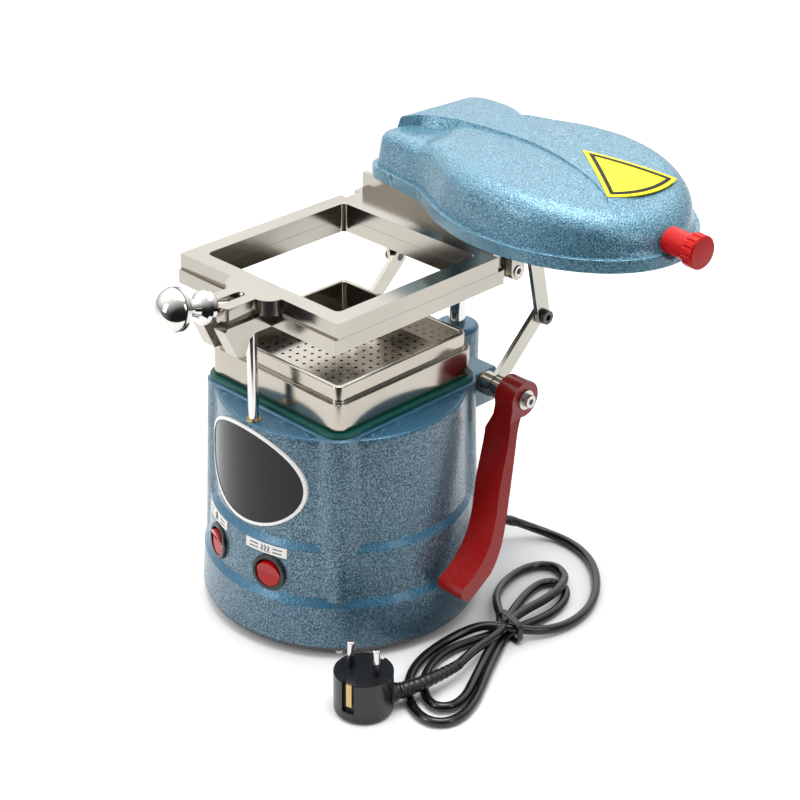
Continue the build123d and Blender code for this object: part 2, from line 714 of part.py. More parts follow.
with BuildPart() as lower_frame:
    with BuildSketch(Plane.XY.offset(LOWER_Z0)):
        with Locations((0, 0.25)):
            Rectangle(150, 153.5)
        with Locations((0, 84.7)):
            Rectangle(138.4, 37.4)
        RectangleRounded(2 * SHEET_HALF, 2 * SHEET_HALF, 4, mode=Mode.SUBTRACT)
    extrude(amount=LOWER_Z1 - LOWER_Z0)
    with BuildSketch(Plane.XY.offset(240.5)):
        with Locations((0, 96)):
            Rectangle(150, 22)
    extrude(amount=5, mode=Mode.SUBTRACT)
    # forked tab at the front
    for x in (5.5, -16.5):
        with BuildSketch(side_plane(x)):
            with BuildLine():
                Polyline(
                    (-76, 242.2), (-113, 242.2), (-115, 240), (-105.6, 219.5), (-98.9, 219), (-95.2, 229.2),
                    (-90, LOWER_Z0), (-76, LOWER_Z0), close=True,
                )
            make_face()
        extrude(amount=11)
    with BuildSketch(Plane.XY.offset(LOWER_Z0)):
        with Locations((0, -80.5)):
            Rectangle(33, 9)
    extrude(amount=LOWER_Z1 - LOWER_Z0)
    with BuildSketch(Plane.XY.offset(LOWER_Z0)):
        with Locations((0, ROD_Y)):
            Circle(ROD_R)
    extrude(amount=6, mode=Mode.SUBTRACT)
    for x in (58, -70):
        with BuildSketch(side_plane(x)):
            with Locations((HINGE_Y, HINGE_Z)):
                Circle(2.3)
        extrude(amount=12, mode=Mode.SUBTRACT)
    with BuildSketch(Plane.XY.offset(LOWER_Z0)):
        with Locations((45, 98), (-45, 98)):
            Circle(2)
    extrude(amount=6, mode=Mode.SUBTRACT)
save("lower_frame", lower_frame)

with BuildPart() as frame_screws:
    for x in (45, -45):
        with BuildSketch(Plane.XY.offset(226)):
            with Locations((x, 98)):
                Circle(2)
        extrude(amount=LOWER_Z0 + 6 - 226)
        with BuildSketch(Plane.XY.offset(226)):
            with Locations((x, 98)):
                Circle(3.8)
                RegularPolygon(1.6, 6, mode=Mode.SUBTRACT)
        extrude(amount=-2.4)
save("frame_screws", frame_screws)

with BuildPart() as hinge_screws:
    for sign in (1, -1):
        with BuildSketch(side_plane(sign * 69.2)):
            with Locations((HINGE_Y, HINGE_Z)):
                Circle(4)
        extrude(amount=sign * 6.6)
        with BuildSketch(side_plane(sign * 75.8)):
            with Locations((HINGE_Y, HINGE_Z)):
                RegularPolygon(2.3, 6)
        extrude(amount=sign * -2.5, mode=Mode.SUBTRACT)
        with BuildSketch(side_plane(sign * 69.2)):
            with Locations((HINGE_Y, HINGE_Z)):
                Circle(2.3)
        extrude(amount=sign * -11.2)
save("hinge_screws", hinge_screws)

with BuildPart() as front_guide_rod:
    with BuildSketch(Plane.XY.offset(164)):
        with Locations((0, ROD_Y)):
            Circle(ROD_R)
    extrude(amount=LOWER_Z0 + 6 - 164)
    with BuildSketch(Plane.XY.offset(158)):
        with Locations((0, ROD_Y)):
            Circle(ROD_R)
    extrude(amount=6)
    fillet(front_guide_rod.edges().sort_by(Axis.Z)[0], 3)
save("front_guide_rod", front_guide_rod)

with BuildPart() as rod_bush:
    with BuildSketch(Plane.XY.offset(124)):
        with Locations((0, ROD_Y)):
            Circle(ROD_R + 1.5)
            Circle(ROD_R + FIT, mode=Mode.SUBTRACT)
    extrude(amount=37)
save("rod_bush", rod_bush)

with BuildPart() as upper_frame:
    with BuildSketch(Plane.XY.offset(UPPER_Z0)):
        with Locations((0, (71 + FRAME_FRONT) / 2)):
            Rectangle(2 * FRAME_HALF, 71 - FRAME_FRONT)
        with Locations((0, (70 + FRAME_REAR) / 2)):
            Rectangle(139, FRAME_REAR - 70)
        RectangleRounded(2 * SHEET_HALF, 2 * SHEET_HALF, 4, mode=Mode.SUBTRACT)
    extrude(amount=UPPER_Z1 - UPPER_Z0)
    # raised rear wall and hinge ears
    with BuildSketch(Plane.XY.offset(245)):
        with Locations((0, FRAME_REAR + 1.5)):
            Rectangle(148, 4)
    extrude(amount=264.8 - 245)
    for x in (69.5, -75):
        with BuildSketch(side_plane(x)):
            with Locations((91, 245.5)):
                Rectangle(13, 15)
            with Locations((HINGE_Y, HINGE_Z)):
                Circle(6.5)
                Circle(4 + FIT, mode=Mode.SUBTRACT)
        extrude(amount=5.5)
    # slotted tab at the front with the cross hole for the bolt's pin
    with BuildSketch(Plane.XY.offset(UPPER_Z0)):
        with BuildLine():
            left = Line((-12.3, -108), (-12.3, -86))
            left_arc = RadiusArc(left @ 1, (-24, FRAME_FRONT), 12)
            back = Line(left_arc @ 1, (24, FRAME_FRONT))
            right_arc = RadiusArc(back @ 1, (12.3, -86), 12)
            right = Line(right_arc @ 1, (12.3, -108))
            ThreePointArc(right @ 1, (0, -111), left @ 0)
        make_face()
    extrude(amount=UPPER_Z1 - UPPER_Z0)
    with BuildSketch(Plane.XY.offset(UPPER_Z0 - 1)):
        with Locations((0, -103.5)):
            SlotOverall(37, 7, rotation=90)
    extrude(amount=20, mode=Mode.SUBTRACT)
    with BuildSketch(side_plane(-10)):
        with Locations((PIN_Y, PIN_Z)):
            Circle(2.5)
    extrude(amount=20, mode=Mode.SUBTRACT)
save("upper_frame", upper_frame)

# ---- clamp bolt ------------------------------------------------------------------------------------
tilt = radians(BOLT_TILT)
bolt_axis = Plane(origin=(0, PIN_Y, PIN_Z), x_dir=(1, 0, 0), z_dir=(0, -cos(tilt), sin(tilt)))

with BuildPart() as clamp_pin:
    with BuildSketch(side_plane(-10)):
        with Locations((PIN_Y, PIN_Z)):
            Circle(2.5)
    extrude(amount=20)
save("clamp_pin", clamp_pin)

with BuildPart() as clamp_bolt:
    with BuildSketch(side_plane(-3.2)):
        with Locations((PIN_Y, PIN_Z)):
            Circle(3.7)
    extrude(amount=6.4)
    with BuildSketch(bolt_axis):
        Circle(3)
    extrude(amount=50)
    with BuildSketch(side_plane(-4)):
        with Locations((PIN_Y, PIN_Z)):
            Circle(2.5 + FIT)
    extrude(amount=8, mode=Mode.SUBTRACT)
save("clamp_bolt", clamp_bolt)

bolt_side = Plane(origin=bolt_axis.origin, x_dir=bolt_axis.z_dir, z_dir=(1, 0, 0))
bolt_line = Axis(bolt_axis.origin, bolt_axis.z_dir)

with BuildPart() as clamp_hub:
    with BuildSketch(bolt_side):
        with BuildLine():
            Polyline(
                (21.2, 3 + FIT), (21.2, 6.3), (23.4, 10.2), (25, 11.1), (28, 11.1), (30.2, 10), (33.5, 6.4),
                (38, 5.2), (44, 5.2), (44, 3 + FIT), close=True,
            )
        make_face()
    revolve(axis=bolt_line)
save("clamp_hub", clamp_hub)

DOME_X = 5.0
DOME_R = (BALL_R**2 - DOME_X**2) ** 0.5
DOME_TURN = radians(35)

with BuildPart() as clamp_ball:
    with BuildSketch(bolt_side):
        with BuildLine():
            flange = Polyline(
                (50.5, 0), (50.5, 3 + FIT), (44, 3 + FIT), (44, 5.2), (46.2, 8), (47.6, 13.2),
                (48.6, BALL_R - 0.4), (52, BALL_R - 0.4), (52, BALL_R - 1.4),
                (BALL_D + DOME_X, BALL_R - 1.4), (BALL_D + DOME_X, DOME_R),
            )
            dome_middle = (BALL_D + BALL_R * cos(DOME_TURN), BALL_R * sin(DOME_TURN))
            dome = ThreePointArc(flange @ 1, dome_middle, (BALL_D + BALL_R, 0))
            Line(dome @ 1, flange @ 0)
        make_face()
    revolve(axis=bolt_line)
save("clamp_ball", clamp_ball)

# ---- heater head -----------------------------------------------------------------------------------
with BuildPart() as head_base:
    with BuildSketch(head_plane(HEAD_Z[0])):
        head_outline()
    extrude(amount=HEAD_Z[1] - HEAD_Z[0])
    with BuildSketch(head_plane(HEAD_Z[0])):
        head_outline(6)
    extrude(amount=5, mode=Mode.SUBTRACT)
    with BuildSketch(head_plane(HEAD_Z[0])):
        with Locations((HEATER_U, 0)):
            Circle(64)
    extrude(amount=20, mode=Mode.SUBTRACT)
    with BuildSketch(head_plane(HEAD_Z[0])):
        Circle(14)
    extrude(amount=25)
    with BuildSketch(head_plane(HEAD_Z[0])):
        Circle(POST_R + FIT)
    extrude(amount=30, mode=Mode.SUBTRACT)
    with BuildSketch(knob_plane(194)):
        Circle(KNOB_SEAT_R)
    extrude(amount=20, mode=Mode.SUBTRACT)
save("head_base", head_base)

with BuildPart() as head_form:
    with BuildSketch(head_plane(HEAD_Z[1])):
        head_outline(3)
    extrude(amount=45)
    with BuildSketch(head_side_plane(-90)):
        crown_band(80)
    extrude(amount=-180, mode=Mode.INTERSECT)
    fillet(head_form.faces().filter_by(lambda f: f.center().Z > 312).edges(), 12)

with BuildPart() as head_spine:
    with BuildSketch(head_plane(300)):
        spine_outline()
    extrude(amount=40)
    with BuildSketch(head_side_plane(-50)):
        crown_band(6, -2.4)
    extrude(amount=-100, mode=Mode.INTERSECT)
    with BuildSketch(head_plane(280)):
        head_outline(15)
    extrude(amount=60, mode=Mode.INTERSECT)

with BuildPart() as head_skin:
    add(head_form.part)
    add(head_spine.part)
    with BuildSketch(knob_plane(194)):
        Circle(KNOB_SEAT_R)
    extrude(amount=20, mode=Mode.SUBTRACT)

with BuildPart() as head_cavity:
    with BuildSketch(head_plane(299)):
        head_outline(13)
    extrude(amount=30)
    with BuildSketch(head_side_plane(-90)):
        crown_band(40, 3.5)
    extrude(amount=-180, mode=Mode.INTERSECT)

with BuildPart() as head_shell:
    add(head_skin.part)
    with BuildSketch(head_plane(HEAD_Z[1] - 1)):
        head_outline(6)
    extrude(amount=13, mode=Mode.SUBTRACT)
    add(head_cavity.part, mode=Mode.SUBTRACT)
    with BuildSketch(knob_plane(185)):
        Circle(4)
    extrude(amount=10, mode=Mode.SUBTRACT)
save("head_shell", head_shell)

with BuildPart() as head_decal:
    with BuildSketch(head_plane(290)):
        with BuildLine():
            edge = PolarLine((100, 15), 66, -31)
            other = PolarLine((100, 15), 66, 21)
            RadiusArc(edge @ 1, other @ 1, -66)
        make_face()
    extrude(amount=60)
    with BuildSketch(head_side_plane(-60)):
        crown_band(0.5, -2.9)
    extrude(amount=-120, mode=Mode.INTERSECT)
save("head_decal", head_decal)

with BuildPart() as heat_reflector:
    with BuildSketch(head_plane(281)):
        with Locations((HEATER_U, 0)):
            Circle(64)
    extrude(amount=17)
    with BuildSketch(head_plane(280)):
        with Locations((HEATER_U, 0)):
            Circle(63)
    extrude(amount=17, mode=Mode.SUBTRACT)
save("heat_reflector", heat_reflector)

ROWS = (-40, -24, -8, 8, 24, 40)
with BuildPart() as heater_element:
    with BuildLine(head_plane(287)) as element_line:
        turns = []
        for i, row in enumerate(ROWS):
            reach = (52**2 - row**2) ** 0.5 - 6
            reach = min(reach, (52**2 - 40**2) ** 0.5 + 10)
            ends = (-reach, reach) if i % 2 == 0 else (reach, -reach)
            turns += [(HEATER_U + row, ends[0]), (HEATER_U + row, ends[1])]
        FilletPolyline(*turns, radius=6)
    with BuildSketch(Plane(origin=element_line.line @ 0, z_dir=element_line.line % 0)):
        Circle(3)
    sweep()
save("heater_element", heater_element)

with BuildPart() as ceramic_holders:
    with BuildSketch(head_plane(290)):
        with Locations((HEATER_U, 22), (HEATER_U, -22)):
            Rectangle(96, 9)
    extrude(amount=7)
save("ceramic_holders", ceramic_holders)

with BuildPart() as pivot_nut:
    with BuildSketch(head_plane(304.3)):
        Circle(11)
        Circle(POST_R, mode=Mode.SUBTRACT)
    extrude(amount=2)
    with BuildSketch(head_plane(306.3)):
        RegularPolygon(10, 6)
        Circle(POST_R, mode=Mode.SUBTRACT)
    extrude(amount=5)
save("pivot_nut", pivot_nut)

with BuildPart() as head_knob:
    with BuildSketch(knob_plane(194)):
        Circle(8.7)
    extrude(amount=18.5)
    with BuildSketch(knob_plane(212.5)):
        Circle(KNOB_CAP_R)
    extrude(amount=8.5)
    chamfer(head_knob.faces().sort_by(lambda f: f.center().X)[-1].outer_wire().edges(), 0.9)
    with BuildSketch(knob_plane(212.5)):
        with PolarLocations(KNOB_CAP_R + 0.3, 14):
            Circle(1.1)
    extrude(amount=7.3, mode=Mode.SUBTRACT)
    with BuildSketch(knob_plane(194)):
        Circle(4)
    extrude(amount=-8)
save("head_knob", head_knob)

# ---- mains cord ------------------------------------------------------------------------------------
CORD_ROUTE = (
    (38.0, 104.5, 20), (42.5, 118.0, 19.2), (48.2, 130.5, 13.5), (56.5, 140.5, 7.4), (68, 147.5, 4.0),
    (82.5, 149.8, 3.3), (97.5, 147.6, 3.3), (111.5, 141.6, 3.3), (124, 132.3, 3.3), (134.6, 121, 3.3),
    (143.5, 108.5, 3.3), (150, 95, 3.4), (153.6, 80.5, 3.6), (153.8, 66, 4), (150.4, 52, 5), (144, 40, 6.5),
    (136.5, 30.5, 8),
)


def bend_radii(route):
    """Bend radius at each inner point of a route, from its shorter run and its turn."""
    radii = []
    for before, here, after in zip(route, route[1:], route[2:]):
        arriving = Vector(here) - Vector(before)
        leaving = Vector(after) - Vector(here)
        turn = radians(arriving.get_angle(leaving))
        radii.append(0.45 * min(arriving.length, leaving.length) / tan(turn / 2))
    return radii


cord_radii = bend_radii(CORD_ROUTE)
print("cord bend radii", [round(r, 1) for r in cord_radii])

with BuildPart() as power_cord:
    with BuildLine() as cord_line:
        FilletPolyline(*CORD_ROUTE, radius=cord_radii)
    with BuildSketch(Plane(origin=cord_line.line @ 0, z_dir=cord_line.line % 0)):
        Circle(CORD_R)
    sweep()
cord_length = sum(e.length for e in cord_line.edges())
print("cord tube volume", power_cord.part.volume, "of", pi * CORD_R**2 * cord_length)
save("power_cord", power_cord)

gland_plane = wall_plane(69.8, 0, 20)

with BuildPart() as cord_gland:
    with BuildSketch(gland_plane.offset(88)):
        Circle(5)
    extrude(amount=12)
    with BuildSketch(gland_plane.offset(98.6)):
        Circle(8)
    extrude(amount=4)
    with BuildSketch(gland_plane.offset(102.6)):
        Circle(6)
    extrude(amount=8.5)
save("cord_gland", cord_gland)

HANK_LOBES = (((107, 79), (50, 28), 118.6), ((140, -30), (55, 36), 99.0))     # centre, outer half axes, turn
HANK_W = 15.0
HANK_H = 16.0

with BuildPart() as cord_hank:
    for centre, (long_half, short_half), turn in HANK_LOBES:
        with BuildSketch():
            with Locations(Location((*centre, 0), (0, 0, turn))):
                Ellipse(long_half, short_half)
                Ellipse(long_half - HANK_W, short_half - HANK_W, mode=Mode.SUBTRACT)
        extrude(amount=HANK_H)
    with BuildSketch():
        with Locations((TIE[0] + 1, TIE[1] + 1)):
            Rectangle(18, 14)
    extrude(amount=HANK_H)
save("cord_hank", cord_hank)

# ---- tie and plug ----------------------------------------------------------------------------------
with BuildPart() as cord_tie:
    with BuildSketch(Plane.XZ.offset(-TIE[1] - 5)):
        with Locations((TIE[0] + 1, 9)):
            RectangleRounded(25, 18, 6)
            RectangleRounded(21, 15, 5, mode=Mode.SUBTRACT)
    extrude(amount=8)
save("cord_tie", cord_tie)

PLUG = (120.0, -96.0)
NECK_TURN = 51.5                 # heading of the plug's neck on the table
PIN_TURN = 14.0                  # turn of the line through its pins
with BuildPart() as plug_body:
    with BuildSketch():
        with Locations(PLUG):
            Circle(19.5)
    extrude(amount=30)
    fillet(plug_body.faces().sort_by(Axis.Z)[0].edges(), 3)
    neck = wall_plane(NECK_TURN, 0, 11)
    neck = Plane(origin=(*PLUG, 11), x_dir=neck.x_dir, z_dir=neck.z_dir)
    with BuildSketch(neck.offset(10)):
        RectangleRounded(22, 16, 6)
    with BuildSketch(neck.offset(22)):
        Circle(6)
    loft()
    with BuildSketch(Plane.XY.offset(30)):
        with Locations(Location((*PLUG, 0), (0, 0, PIN_TURN))):
            with Locations((0, 19), (0, -19)):
                Rectangle(9, 5)
    extrude(amount=-22, mode=Mode.SUBTRACT)
save("plug_body", plug_body)

with BuildPart() as plug_pins:
    with BuildSketch(Plane.XY.offset(30)):
        with Locations(Location((*PLUG, 0), (0, 0, PIN_TURN))):
            with Locations((-9.5, 0), (9.5, 0)):
                Circle(2.4)
    extrude(amount=19)
    fillet(plug_pins.faces().sort_by(Axis.Z)[-2:].edges(), 1.2)
save("plug_pins", plug_pins)

with BuildPart() as plug_clips:
    with BuildSketch(Plane.XY.offset(12)):
        with Locations(Location((*PLUG, 0), (0, 0, PIN_TURN))):
            with Locations((0, 17.25), (0, -17.25)):
                Rectangle(4, 1.4)
    extrude(amount=17)
save("plug_clips", plug_clips)
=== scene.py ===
"""Dental vacuum former: camera, lights, cord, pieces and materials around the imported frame."""

import math

import bmesh
import bpy
import numpy as np
from mathutils import Matrix, Vector


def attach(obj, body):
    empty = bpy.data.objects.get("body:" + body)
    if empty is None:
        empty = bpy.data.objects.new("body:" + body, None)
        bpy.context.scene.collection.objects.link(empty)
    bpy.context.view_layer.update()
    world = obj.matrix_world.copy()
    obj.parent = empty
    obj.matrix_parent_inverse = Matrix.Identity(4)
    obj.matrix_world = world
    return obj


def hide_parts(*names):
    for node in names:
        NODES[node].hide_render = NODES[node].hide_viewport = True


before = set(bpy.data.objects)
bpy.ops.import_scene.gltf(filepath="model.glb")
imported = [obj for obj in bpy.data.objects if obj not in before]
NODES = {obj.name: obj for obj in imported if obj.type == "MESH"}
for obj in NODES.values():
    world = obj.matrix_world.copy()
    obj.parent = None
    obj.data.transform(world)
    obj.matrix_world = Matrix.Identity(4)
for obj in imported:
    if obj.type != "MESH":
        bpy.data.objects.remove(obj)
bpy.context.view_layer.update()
MM = 0.001

# ---- camera ----------------------------------------------------------------------------------------
CAM_POS = (0.8785, -0.8363, 0.7894)
CAM_BACK = Vector((0.6194, -0.6295, 0.4692)).normalized()
CAM_ROLL = math.radians(0.63)
FOCAL_PX = 2014.0

right = Vector((0, 0, 1)).cross(CAM_BACK).normalized()
up = CAM_BACK.cross(right)
turned_right = right * math.cos(CAM_ROLL) + up * math.sin(CAM_ROLL)
turned_up = up * math.cos(CAM_ROLL) - right * math.sin(CAM_ROLL)
camera_data = bpy.data.cameras.new("camera")
camera_data.sensor_width = 36.0
camera_data.sensor_fit = "HORIZONTAL"
camera_data.lens = 36.0 * FOCAL_PX / 800.0
camera_data.clip_start = 0.05
camera = bpy.data.objects.new("camera", camera_data)
camera.matrix_world = Matrix(
    (
        (turned_right.x, turned_up.x, CAM_BACK.x, CAM_POS[0]),
        (turned_right.y, turned_up.y, CAM_BACK.y, CAM_POS[1]),
        (turned_right.z, turned_up.z, CAM_BACK.z, CAM_POS[2]),
        (0, 0, 0, 1),
    )
)
bpy.context.scene.collection.objects.link(camera)
bpy.context.scene.camera = camera


# ---- node helpers ----------------------------------------------------------------------------------
class Shader:
    """A material under construction: a Principled shader plus helpers for its texture nodes."""

    def __init__(self, name, color, rough=0.5, metal=0.0):
        self.mat = bpy.data.materials.new(name)
        self.mat.use_nodes = True
        self.tree = self.mat.node_tree
        self.bsdf = self.tree.nodes["Principled BSDF"]
        self.set("Base Color", (*color, 1.0))
        self.set("Roughness", rough)
        self.set("Metallic", metal)
        self.coords = self.tree.nodes.new("ShaderNodeTexCoord").outputs["Object"]
        self.bump_normal = None

    def set(self, socket, value):
        self.bsdf.inputs[socket].default_value = value

    def node(self, kind, inputs=(), **props):
        made = self.tree.nodes.new(kind)
        for key, value in props.items():
            setattr(made, key, value)
        for key, value in dict(inputs).items():
            if isinstance(value, bpy.types.NodeSocket):
                self.tree.links.new(value, made.inputs[key])
            else:
                made.inputs[key].default_value = value
        return made

    def scaled(self, scale):
        """Object coordinates stretched by a scale on each axis."""
        return self.node("ShaderNodeMapping", {"Vector": self.coords, "Scale": scale}).outputs["Vector"]

    def noise(self, scale, detail=2.0, rough=0.5, stretch=None):
        vector = self.scaled(stretch) if stretch else self.coords
        inputs = {"Vector": vector, "Scale": scale, "Detail": detail, "Roughness": rough}
        return self.node("ShaderNodeTexNoise", inputs).outputs["Fac"]

    def ramp(self, value, low, high, out_low=0.0, out_high=1.0):
        inputs = {"Value": value, "From Min": low, "From Max": high, "To Min": out_low, "To Max": out_high}
        return self.node("ShaderNodeMapRange", inputs).outputs["Result"]

    def upward(self, strength):
        """Mask of the faces that look clearly upwards, such as a deck or a ledge, where a sheen is painted.
        """
        normal = self.tree.nodes.new("ShaderNodeTexCoord").outputs["Normal"]
        z = self.node("ShaderNodeSeparateXYZ", {"Vector": normal}).outputs["Z"]
        return self.ramp(z, 0.20, 0.42, 0.0, strength)

    def mix(self, value, color_a, color_b):
        inputs = {"Factor": value}
        made = self.node("ShaderNodeMix", inputs, data_type="RGBA")
        for index, color in ((6, color_a), (7, color_b)):
            if isinstance(color, bpy.types.NodeSocket):
                self.tree.links.new(color, made.inputs[index])
            else:
                made.inputs[index].default_value = (*color, 1.0)
        return made.outputs[2]

    def link(self, value, socket):
        self.tree.links.new(value, self.bsdf.inputs[socket])

    def bump(self, height, strength, distance):
        inputs = {"Height": height, "Strength": strength, "Distance": distance}
        if self.bump_normal is not None:
            inputs["Normal"] = self.bump_normal
        self.bump_normal = self.node("ShaderNodeBump", inputs).outputs["Normal"]
        self.link(self.bump_normal, "Normal")


def paint(obj, material):
    """Puts one material on every slot of an object."""
    if not obj.data.materials:
        obj.data.materials.append(material)
    for index in range(len(obj.data.materials)):
        obj.data.materials[index] = material


# ---- materials -------------------------------------------------------------------------------------
def hammertone(name, palette, fleck, relief, painted_sheen_color=None):
    """Blue hammer-finish enamel: fine worm-like flecks over a dark blue, with a painted sheen that makes
    faces looking upwards smooth and bluer.
    """
    s = Shader(name, (0.09, 0.17, 0.25), 0.3)
    worms = s.noise(fleck, 1.5, 0.6)
    speck = s.noise(2100, 1, 0.5)
    broad = s.noise(22, 2, 0.5)
    deep, pale, base = palette
    pattern = s.mix(s.ramp(worms, 0.42, 0.60), deep, pale)
    pattern = s.mix(s.ramp(speck, 0.62, 0.74, 0.0, 0.22), pattern, (0.36, 0.48, 0.55))
    color = s.mix(s.ramp(broad, 0.3, 0.7, 0.10, 0.35), pattern, base)
    # painted sheen: faces that look upwards take a flat saturated blue in place of the flecks
    if painted_sheen_color:
        color = s.mix(s.upward(0.72), color, painted_sheen_color)
    s.link(color, "Base Color")
    s.link(s.ramp(worms, 0.4, 0.6, 0.36, 0.18), "Roughness")
    s.bump(worms, relief, 0.0006)
    s.set("Metallic", 0.38)
    s.set("Coat Weight", 0.28)
    s.set("Coat Roughness", 0.12)
    return s.mat


def brushed(name, color, rough, stretch, strength=0.03, metal=1.0):
    """Ground or plated metal with a faint grain along one axis."""
    s = Shader(name, color, rough, metal)
    grain = s.noise(1400, 2, 0.5, stretch)
    broad = s.noise(16, 2, 0.5)
    darker = tuple(c * 0.90 for c in color)
    lighter = tuple(min(1.0, c * 1.05) for c in color)
    s.link(s.mix(s.ramp(broad, 0.3, 0.7), darker, lighter), "Base Color")
    s.link(s.ramp(grain, 0.3, 0.7, rough * 0.9, rough * 1.12), "Roughness")
    s.bump(grain, strength, 0.00004)
    return s.mat


def polished(name, color, rough=0.06):
    """Chrome or polished steel with faint handling marks."""
    s = Shader(name, color, rough, 1.0)
    s.link(s.ramp(s.noise(60, 4, 0.6), 0.35, 0.75, rough, rough * 2.6), "Roughness")
    return s.mat


def plastic(name, color, rough, grain=0.03, coat=0.0, shine=0.5):
    """Moulded plastic or rubber with a fine skin and slight colour variation."""
    s = Shader(name, color, rough)
    broad = s.noise(30, 3, 0.5)
    s.link(s.mix(s.ramp(broad, 0.3, 0.7), tuple(c * 0.86 for c in color), color), "Base Color")
    s.link(s.ramp(s.noise(400, 2, 0.5), 0.3, 0.7, rough * 0.85, rough * 1.15), "Roughness")
    s.bump(s.noise(900, 2, 0.5), grain, 0.0001)
    s.set("Coat Weight", coat)
    s.set("Coat Roughness", 0.08)
    s.set("Specular IOR Level", shine)
    return s.mat


# head and body wear one blue enamel in two copies: the body's tints are darkened as painted shade for its
# walls, the head's are paled as painted light for its top
BODY_TINTS_PAINTED_SHADE = (0.010, 0.038, 0.066), (0.155, 0.250, 0.305), (0.024, 0.100, 0.170)
HEAD_TINTS_PAINTED_LIGHT = (0.026, 0.095, 0.150), (0.200, 0.385, 0.480), (0.070, 0.220, 0.320)
BLUE = hammertone("hammertone", HEAD_TINTS_PAINTED_LIGHT, 960, 0.8)
# the last colour is the painted sheen for the body's deck and ledge faces
BODY_BLUE = hammertone("hammertone_body", BODY_TINTS_PAINTED_SHADE, 860, 0.7, (0.020, 0.125, 0.225))
NICKEL = brushed("satin_nickel", (0.405, 0.380, 0.335), 0.17, (1.0, 1.0, 1.0))
TRAY = brushed("tray_metal", (0.410, 0.380, 0.330), 0.14, (1.0, 1.0, 0.2))
STEEL = brushed("link_steel", (0.44, 0.425, 0.38), 0.20, (0.3, 1.0, 1.0))
CHROME = polished("bright_chrome", (0.60, 0.59, 0.57))
SCREW = polished("screw_steel", (0.50, 0.49, 0.47), 0.16)
DARK = brushed("dark_steel", (0.10, 0.10, 0.11), 0.42, (1.0, 1.0, 1.0))
BRONZE = brushed("bronze", (0.55, 0.38, 0.18), 0.38, (1.0, 1.0, 1.0))
LEVER_RED = plastic("lever_red", (0.27, 0.003, 0.002), 0.30, 0.0, 0.35, 0.2)
KNOB_RED = plastic("knob_red", (0.46, 0.004, 0.004), 0.24, 0.0, shine=0.2)
ROCKER_RED = plastic("rocker_red", (0.36, 0.003, 0.003), 0.16, 0.0, shine=0.3)
BLACK = plastic("black_plastic", (0.006, 0.006, 0.007), 0.30, 0.02)
BADGE = plastic("badge_black", (0.006, 0.006, 0.007), 0.16, 0.0, shine=0.25)
SILVER = plastic("badge_silver", (0.80, 0.80, 0.79), 0.30, 0.0)
WHITE = plastic("label_white", (0.72, 0.72, 0.70), 0.45, 0.0)
YELLOW = plastic("label_yellow", (0.80, 0.72, 0.010), 0.34, 0.0, shine=0.2)
INK = plastic("printed_black", (0.008, 0.008, 0.008), 0.40, 0.0, shine=0.15)
GREEN = plastic("green_rubber", (0.001, 0.085, 0.068), 0.45, 0.03, shine=0.3)
RUBBER = plastic("black_rubber", (0.02, 0.02, 0.02), 0.7, 0.05)
CORD = plastic("cord_black", (0.004, 0.004, 0.005), 0.20, 0.02)
REFLECTOR = brushed("reflector", (0.78, 0.78, 0.78), 0.22, (1.0, 1.0, 1.0))
ELEMENT = brushed("element", (0.20, 0.17, 0.15), 0.45, (1.0, 1.0, 1.0))
CERAMIC = plastic("steatite", (0.74, 0.70, 0.60), 0.6, 0.05)

NODE_MATERIALS = {
    BLUE: "body_casting head_base head_shell",
    NICKEL: "upper_frame lower_frame carriage post_collar lever_collar",
    TRAY: "vacuum_tray perforated_plate",
    STEEL: "crank_left crank_right upper_link_left upper_link_right",
    CHROME: "guide_post front_guide_rod lever_shaft clamp_bolt clamp_hub clamp_ball clamp_pin plug_pins",
    SCREW: "base_screws lever_screw hinge_screws",
    DARK: (
        "base_plate motor_shroud motor_screws motor_housing motor_armature elbow_pins top_pins "
        "frame_screws pivot_nut"
    ),
    BRONZE: "shaft_bushes carriage_bush rod_bush plug_clips",
    LEVER_RED: "handle_lever",
    KNOB_RED: "head_knob",
    ROCKER_RED: "switch_rocker_left switch_rocker_right",
    BLACK: "switch_bezel_left switch_bezel_right cord_gland cord_tie plug_body",
    BADGE: "badge_plate",
    SILVER: "badge_rim",
    WHITE: "switch_label_left switch_label_right",
    YELLOW: "head_decal",
    GREEN: "tray_gasket",
    RUBBER: "rubber_feet",
    CORD: "power_cord cord_hank",
    REFLECTOR: "heat_reflector impeller",
    ELEMENT: "heater_element",
    CERAMIC: "ceramic_holders",
}
for material, names in NODE_MATERIALS.items():
    for name in names.split():
        paint(NODES[name], material)


# ---- mesh helpers ----------------------------------------------------------------------------------
def new_object(name, mesh, material, smooth=38):
    """Links a mesh object with one material, smooth except across edges sharper than an angle."""
    mesh.shade_smooth()
    mesh.set_sharp_from_angle(angle=math.radians(smooth))
    mesh.materials.clear()
    mesh.materials.append(material)
    obj = bpy.data.objects.new(name, mesh)
    bpy.context.scene.collection.objects.link(obj)
    return obj


def mesh_of(name, points, faces):
    """Mesh from points in millimetres, with its faces turned outwards."""
    mesh = bpy.data.meshes.new(name)
    mesh.from_pydata([(x * MM, y * MM, z * MM) for x, y, z in points], [], faces)
    bm = bmesh.new()
    bm.from_mesh(mesh)
    bmesh.ops.remove_doubles(bm, verts=bm.verts, dist=2e-6)
    bmesh.ops.recalc_face_normals(bm, faces=bm.faces)
    bm.to_mesh(mesh)
    bm.free()
    return mesh


def lofted(name, rings):
    """Closed skin through rings of equal count, capped at both ends."""
    count = len(rings[0])
    points = [p for ring in rings for p in ring]
    faces = [list(range(count)), list(range((len(rings) - 1) * count, len(rings) * count))]
    for r in range(len(rings) - 1):
        for i in range(count):
            j = (i + 1) % count
            faces.append((r * count + i, r * count + j, (r + 1) * count + j, (r + 1) * count + i))
    return mesh_of(name, points, faces)


